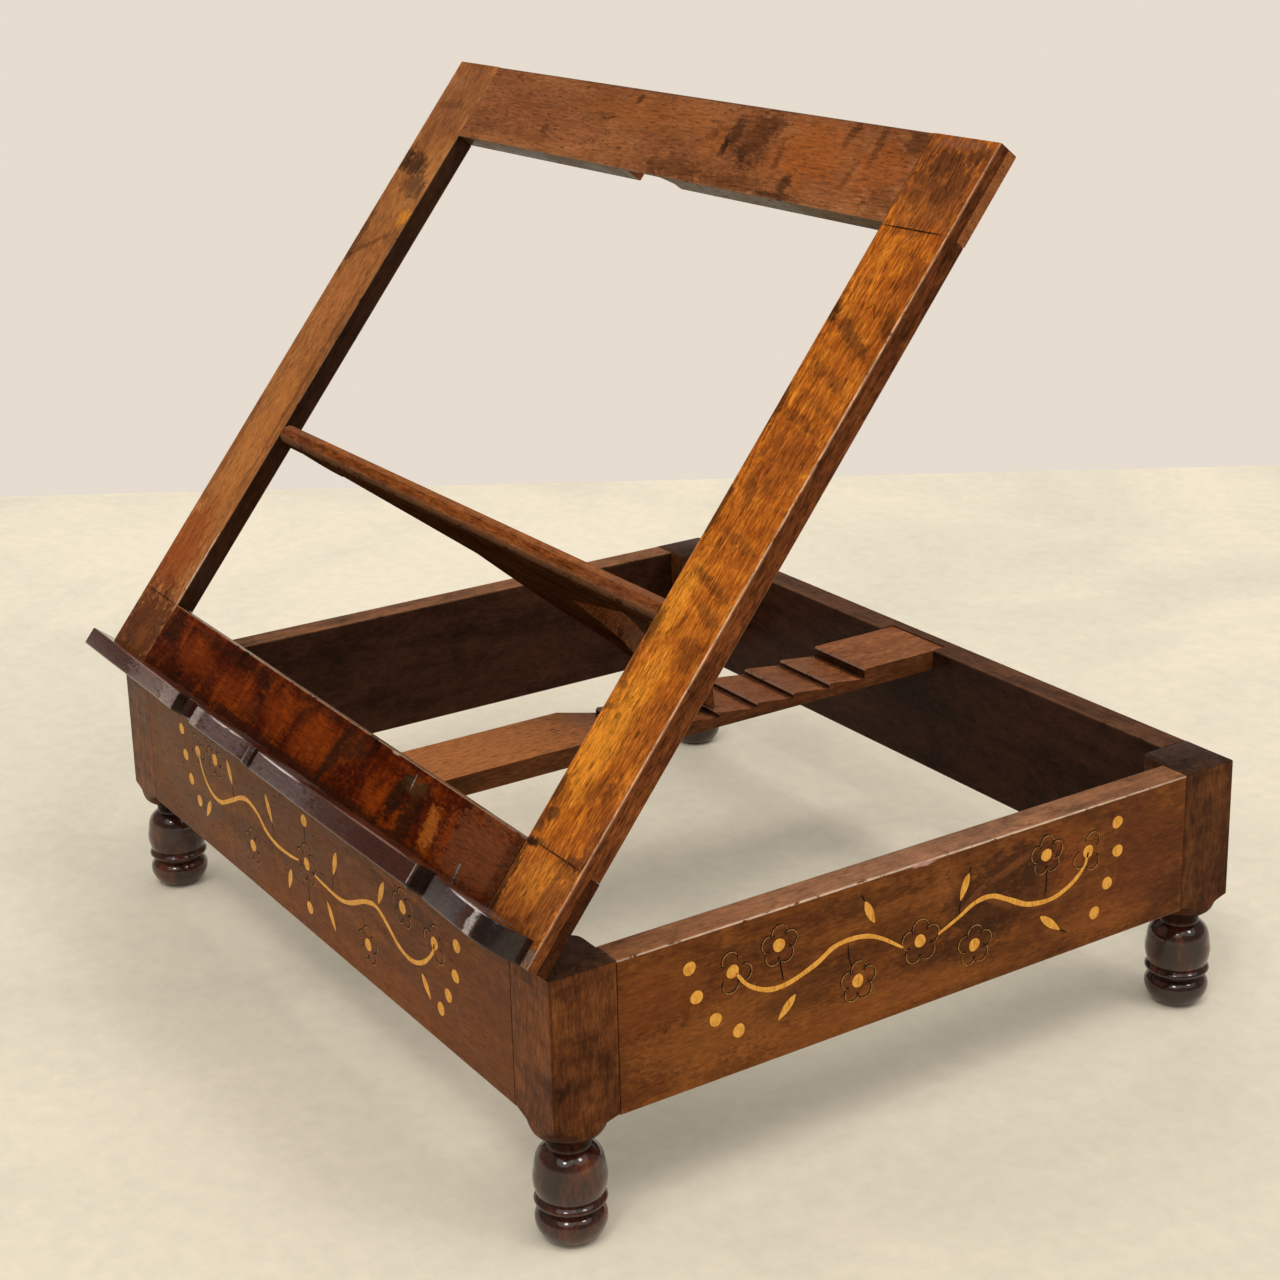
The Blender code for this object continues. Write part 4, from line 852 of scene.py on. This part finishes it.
# Painted light and shade along the ledge: lit lengths with painted reflections and highlights, and
# dark lengths and grooves in painted shade; middle and half length in millimetres, tone, strength
LEDGE_LIGHT_AND_SHADE = (
    (-190, 22, (0.065, 0.017, 0.009), 0.7), (-128, 22, (0.17, 0.105, 0.09), 0.8),
    (-100, 9, (0.24, 0.17, 0.15), 0.7), (-84, 5, (0.024, 0.007, 0.005), 0.9),
    (-66, 4, (0.42, 0.35, 0.32), 0.65), (-40, 20, (0.12, 0.076, 0.074), 0.8),
    (-12, 6, (0.03, 0.01, 0.007), 0.8), (28, 30, (0.112, 0.07, 0.068), 0.85),
    (76, 22, (0.075, 0.03, 0.02), 0.6), (122, 30, (0.046, 0.011, 0.005), 0.85),
    (150, 6, (0.012, 0.006, 0.004), 0.95), (160, 8, (0.022, 0.009, 0.007), 0.8),
    (178, 9, (0.062, 0.045, 0.05), 0.8), (195.5, 2.6, (0.48, 0.43, 0.41), 0.75),
    (206, 8, (0.01, 0.005, 0.004), 0.95),
)
LEDGE = wood_finish(
    "dark_ledge_plum", "X", ((0.012, 0.003, 0.002), (0.04, 0.011, 0.006), (0.08, 0.024, 0.013)),
    **ON_FRAME, roughness=0.2, coat=0.45, shine=0.12, edge_share=0.0, flecks=0.2,
    spots=(
        *((along, 4, half, 30, tone, strength) for along, half, tone, strength in LEDGE_LIGHT_AND_SHADE),
        # Painted highlights: light lines along the ledge's upper arris and on the edges of two
        # notches.
        (20, 8.5, 18, 0.7, (0.8, 0.72, 0.68), 0.9), (-40, 8.4, 14, 0.7, (0.7, 0.6, 0.55), 0.8),
        (-130, 8.5, 40, 0.5, (0.36, 0.2, 0.16), 0.7), (90, 9.4, 44, 0.5, (0.34, 0.17, 0.13), 0.6),
        (186, 10.1, 13, 0.7, (0.75, 0.68, 0.65), 0.85), (-4, 4, 0.8, 5, (0.42, 0.32, 0.26), 0.8),
        (143, 5, 0.7, 5, (0.36, 0.27, 0.22), 0.8),
    ),
    # The right end face's dark tone is painted shade.
    sides=((UP_FRAME, (0.085, 0.022, 0.009), 0.85), (RIGHT, (0.02, 0.01, 0.007), 0.9)))

# The base's rails: the way of the fibre, the two axes of the outer face, spots and sides; the sides
# paint shade on the inner faces and sheen on the tops
BASE_TONES = ((0.027, 0.006, 0.002), (0.124, 0.036, 0.007), (0.26, 0.086, 0.016))
RAILS = {
    "front_rail": ("X", (0, 2), (
        (0, 121.5, 190, 1.2, CLOUDY, 0.6), (-130, 96, 70, 28, (0.145, 0.052, 0.01), 0.55),
        (0, 100, 60, 20, (0.12, 0.038, 0.01), 0.5), (60, 66, 150, 9, (0.18, 0.05, 0.011), 0.45),
        (150, 90, 34, 26, (0.135, 0.038, 0.01), 0.55), (-80, 80, 60, 5, CLOUDY, 0.3, 6),
        (90, 108, 40, 5, CLOUDY, 0.35, -4)),
        ((REAR, INSIDE_DIRT_AND_SHADE, 0.95), (UP, TOP_TONE_AND_SHEEN, 0.75))),
    "right_rail": ("Y", (1, 2), (
        (-90, 76, 42, 13, (0.29, 0.098, 0.02), 0.5), (-122, 99, 20, 15, (0.19, 0.052, 0.011), 0.45),
        (-23, 65, 62, 7, (0.27, 0.085, 0.018), 0.5), (24, 107, 6, 9, (0.26, 0.085, 0.02), 0.5),
        (88, 101, 13, 13, (0.24, 0.058, 0.013), 0.55), (116, 67, 24, 9, (0.25, 0.074, 0.016), 0.5),
        (141, 94, 22, 24, (0.12, 0.032, 0.009), 0.6), (58, 104, 28, 10, CLOUDY, 0.7, 4),
        (44, 88, 16, 8, CLOUDY, 0.6, -20), (39, 77, 18, 8, CLOUDY, 0.55),
        (76, 96, 16, 11, CLOUDY, 0.5, 25), (-48, 82, 26, 7, CLOUDY, 0.45, 12),
        (-18, 112, 32, 5, CLOUDY, 0.35), (10, 80, 14, 6, CLOUDY, 0.4, -10),
        (-70, 108, 20, 4, CLOUDY, 0.35), (154, 66, 12, 10, CLOUDY, 0.4),
        (-146, 70, 9, 14, CLOUDY, 0.4), (62, 106, 14, 1.8, (0.19, 0.06, 0.016), 0.6, 18),
        (52, 92, 10, 1.6, (0.19, 0.06, 0.016), 0.6, -30),
        # The light line along the top arris and the brighter spot on it are wear and a painted
        # highlight.
        (40, 98, 9, 1.4, (0.19, 0.06, 0.016), 0.5, 35), (12, 121.5, 170, 0.48, WEAR_AND_GLINT, 0.95),
        (13, 121, 6, 1.2, (0.5, 0.28, 0.22), 0.8)),
        ((LEFT, INSIDE_DIRT_AND_SHADE, 0.95), (UP, TOP_TONE_AND_SHEEN, 0.8))),
    "left_rail": ("Y", (1, 2), (
        (-40, 96, 50, 14, CLOUDY, 0.5), (70, 78, 44, 12, (0.26, 0.085, 0.02), 0.4)),
        ((RIGHT, INSIDE_DIRT_AND_SHADE, 0.95), (UP, TOP_TONE_AND_SHEEN, 0.8))),
    "rear_rail": ("X", (0, 2), (
        (90, 80, 60, 20, CLOUDY, 0.5), (-80, 96, 60, 12, (0.22, 0.07, 0.018), 0.4)),
        ((FRONT, INSIDE_DIRT_AND_SHADE, 0.95), (UP, (0.09, 0.036, 0.017), 0.8))),
}

# Painted shade and old dirt under each riser: the last one's place along the bar and their step, in
# millimetres
LAST_NOTCH_MARK, RISER_STEP = 132.9, 22.55
NOTCH_DIRT_AND_SHADE = tuple((LAST_NOTCH_MARK - RISER_STEP * number, 0, 1.7, 60, (0.034, 0.011, 0.005), 0.75)
                   for number in range(7))
RACK = wood_finish(
    "walnut_rack_bar", "Y", ((0.13, 0.04, 0.01), (0.27, 0.092, 0.03), (0.42, 0.155, 0.056)),
    face=long_side((1, 0)), edge=(0.42, 0.22, 0.14), roughness=0.38,
    spots=(
        # The second spot darkens the toothed part, partly painted shade of its risers.
        (-95, 0, 75, 40, (0.56, 0.19, 0.046), 0.8), (64, 0, 66, 60, (0.13, 0.04, 0.014), 0.5),
        *NOTCH_DIRT_AND_SHADE),
    # The risers' dark tone, facing the front, is painted shade.
    sides=((RIGHT, (0.092, 0.03, 0.01), 0.9), (LEFT, (0.092, 0.03, 0.01), 0.9),
           (DOWN, (0.06, 0.026, 0.012), 0.8), (FRONT, (0.026, 0.009, 0.004), 0.92)))

PROP = wood_finish(
    "prop_red_walnut", "X", ((0.08, 0.018, 0.003), (0.25, 0.07, 0.013), (0.44, 0.15, 0.032)),
    place=prop_place, turn=-PROP_LEAN, edge_share=0.15, streak=0.26, shine=0.0,
    spots=(
        (152, 0, 34, 16, (0.15, 0.052, 0.028), 0.7), (-158, 0, 22, 16, (0.15, 0.045, 0.022), 0.7),
    ),
    # The underside's dark tone is painted shade.
    sides=((PROP_EDGE, (0.12, 0.03, 0.009), 0.6), (UNDER_PROP, (0.032, 0.012, 0.005), 0.95),
           (RIGHT, (0.05, 0.016, 0.007), 0.8), (LEFT, (0.05, 0.016, 0.007), 0.8)))


def post_wood(name, near):
    """Post wood, end grain dark on top, mottled on its sides, its arrises dark with age. The
    far posts are darker, and less amber in front."""
    share, front = (1.0, 0.6) if near else (0.66, 0.3)
    tones = ((0.018, 0.005, 0.001), (0.1, 0.03, 0.008), (0.215, 0.072, 0.018))
    return wood_finish(
        name, "Z", [tuple(value * share for value in tone) for tone in tones],
        ripple=0.14, streak=0.12, mottle=0.24, edge=(0.04, 0.013, 0.005), edge_share=0.6,
        flecks=0.1, sides=((UP, (0.04, 0.018, 0.01), 0.85),
                           (FRONT, (0.145, 0.046, 0.012), front)))


GLOSS = turned_finish("turned_gloss")
BRASS = metal_finish("aged_brass", (0.48, 0.34, 0.12), (0.17, 0.105, 0.04), 0.38)
STEEL = metal_finish("dull_steel", (0.42, 0.41, 0.4), (0.12, 0.11, 0.1), 0.42)


# ---- the lectern

def repaint(node, material):
    """A CAD node keeps its shape and takes a finished material on each of its slots."""
    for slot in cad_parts[node].material_slots:
        slot.material = material


def dress_lectern():
    """Every piece of wood and metal gets its finish, and the posts, the ledge and the inlay
    their finer shapes."""
    for node, (grain, axes, spots, sides) in RAILS.items():
        repaint(node, wood_finish(f"walnut_{node}", grain, BASE_TONES, spots, face=long_side(axes),
                                  sides=sides, streak=0.09, mottle=0.18, flecks=0.08, fibre=0.3,
                                  edge_share=0.25))
    for node, wood in (("rack_bar", RACK), ("prop_board", PROP),
                       ("frame_stile_right", STILE_RIGHT), ("frame_stile_left", STILE_LEFT),
                       ("frame_rail_top", RAIL_TOP), ("frame_rail_bottom", RAIL_BOTTOM)):
        repaint(node, wood)
    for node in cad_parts:
        if node.startswith("hinge_leaf"):
            repaint(node, BRASS)
        elif "pin" in node or "screw" in node:
            repaint(node, STEEL)
    for node, sign_x, sign_y in (("post_front_left", -1, -1), ("post_front_right", 1, -1),
                                 ("post_rear_left", -1, 1), ("post_rear_right", 1, 1)):
        post = make_piece(node + "_turned", post_shell(sign_x, sign_y),
                          post_wood("walnut_" + node, sign_y < 0), "base", 32,
                          (node,))
        post.data.materials.append(GLOSS)
        for face in post.data.polygons:
            face.material_index = int(face.center.z < GLOSS_TOP)
    make_piece("scalloped_ledge", ledge_shell(), LEDGE, "reading_frame", 38,
               ("book_ledge",))
    lay_inlay("front", FRONT_INLAY, onto_front)
    lay_inlay("right", SIDE_INLAY, onto_right)
    lay_inlay("left", SIDE_INLAY, onto_left)


# ---- studio

# Way from the object to the floor's far end, how far off it is, and how far the floor
# reaches the other ways, in metres
FLOOR_AWAY = np.array([-0.8419, 0.5396])
FLOOR_END = 0.843
FLOOR_REACH = 30.0

# Lamps: name, bearing, height and strength, width in the sky, colour; angles in degrees
LAMPS = (
    ("soft_left", 33, 60, 0.44, 45, (1.0, 0.97, 0.92)),
    ("soft_right", 117, 60, 0.32, 45, (1.0, 0.975, 0.93)),
    ("window_left", 36, 57, 0.34, 9, (1.0, 0.98, 0.95)),
    ("window_right", 118, 57, 0.24, 9, (1.0, 0.98, 0.95)),
)

# How steeply a ray looks up where the wall starts to darken and where the ceiling begins
WALL_ENDS, CEILING_BEGINS = 0.02, 0.24

# The photograph's viewpoint, found from the straight edges of the base and frame
EYE_PLACE = (0.903904, -0.567329, 0.542602)
EYE_TURN = (73.178694, 1.310249, 56.852323)
EYE_LENS = 66.14
EYE_SHIFT = -0.09375


def lay_floor():
    """A plain pale floor with the faintest clouds of a poured surface. It ends in a straight
    line across the view, past which the pale room shows."""
    edge = FLOOR_END * FLOOR_AWAY
    across = np.array([-FLOOR_AWAY[1], FLOOR_AWAY[0]]) * FLOOR_REACH
    near = edge - FLOOR_AWAY * FLOOR_REACH
    corners = (edge + across, edge - across, near - across, near + across)
    mesh = bpy.data.meshes.new("floor")
    mesh.from_pydata([(*corner, 0) for corner in corners], [], [(0, 3, 2, 1)])
    mesh.update()
    finish = Finish("pale_floor", shine=0.2)
    own = finish.place["Object"]
    cloud = finish.noise(own, 3.2, 6.0, 0.62, 0.7)
    grit = finish.noise(own, 90, 4.0, 0.7)
    colour = finish.mixed(FLOOR_DULL, FLOOR_COLOUR, finish.span(cloud, 0.36, 0.62))
    colour = finish.scaled(colour, finish.swayed(1.0, grit, 0.05))
    mesh.materials.append(finish.finish(colour, finish.span(cloud, 0.3, 0.7, 0.55, 0.75)))
    floor = bpy.data.objects.new("floor", mesh)
    bpy.context.scene.collection.objects.link(floor)


def set_camera():
    camera = bpy.data.cameras.new("camera")
    camera.lens = EYE_LENS
    camera.sensor_width = 36.0
    camera.shift_y = EYE_SHIFT
    camera.clip_start = 0.05
    camera.clip_end = 100.0
    eye = bpy.data.objects.new("camera", camera)
    eye.location = EYE_PLACE
    eye.rotation_euler = tuple(math.radians(value) for value in EYE_TURN)
    bpy.context.scene.collection.objects.link(eye)
    bpy.context.scene.camera = eye


def hang_lamps():
    for name, bearing, height, strength, width, colour in LAMPS:
        light = bpy.data.lights.new(name, "SUN")
        light.angle = math.radians(width)
        light.energy = strength
        light.color = colour
        lamp = bpy.data.objects.new(name, light)
        lamp.rotation_euler = (math.radians(90 - height), 0, math.radians(bearing))
        bpy.context.scene.collection.objects.link(lamp)


def light_room():
    """An even room. What the eye, gloss and glass see of it is its pale wall, which darkens
    upwards into the ceiling."""
    world = bpy.data.worlds.new("pale_room")
    world.use_nodes = True
    room = Nodes(world.node_tree)
    steepness = room.parts(room.add("TexCoord", {}, "Generated"))["Z"]
    upwards = room.add("MapRange", {"Value": steepness, "From Min": WALL_ENDS,
                                    "From Max": CEILING_BEGINS})
    backdrop = room.mixed(WALL_COLOUR, CEILING_COLOUR, upwards)
    path = room.tree.nodes.new("ShaderNodeLightPath").outputs
    seen = room.sum("MAXIMUM", path["Is Camera Ray"], path["Is Glossy Ray"])
    seen = room.sum("MAXIMUM", seen, path["Is Transmission Ray"])
    even = tuple(value * ROOM_LEVEL for value in ROOM_COLOUR)
    room.feed(room.tree.nodes["Background"].inputs["Color"], room.mixed(even, backdrop, seen))
    bpy.context.scene.world = world


dress_lectern()
lay_floor()
hang_lamps()
light_room()
set_camera()
bpy.context.scene.view_settings.view_transform = "Standard"
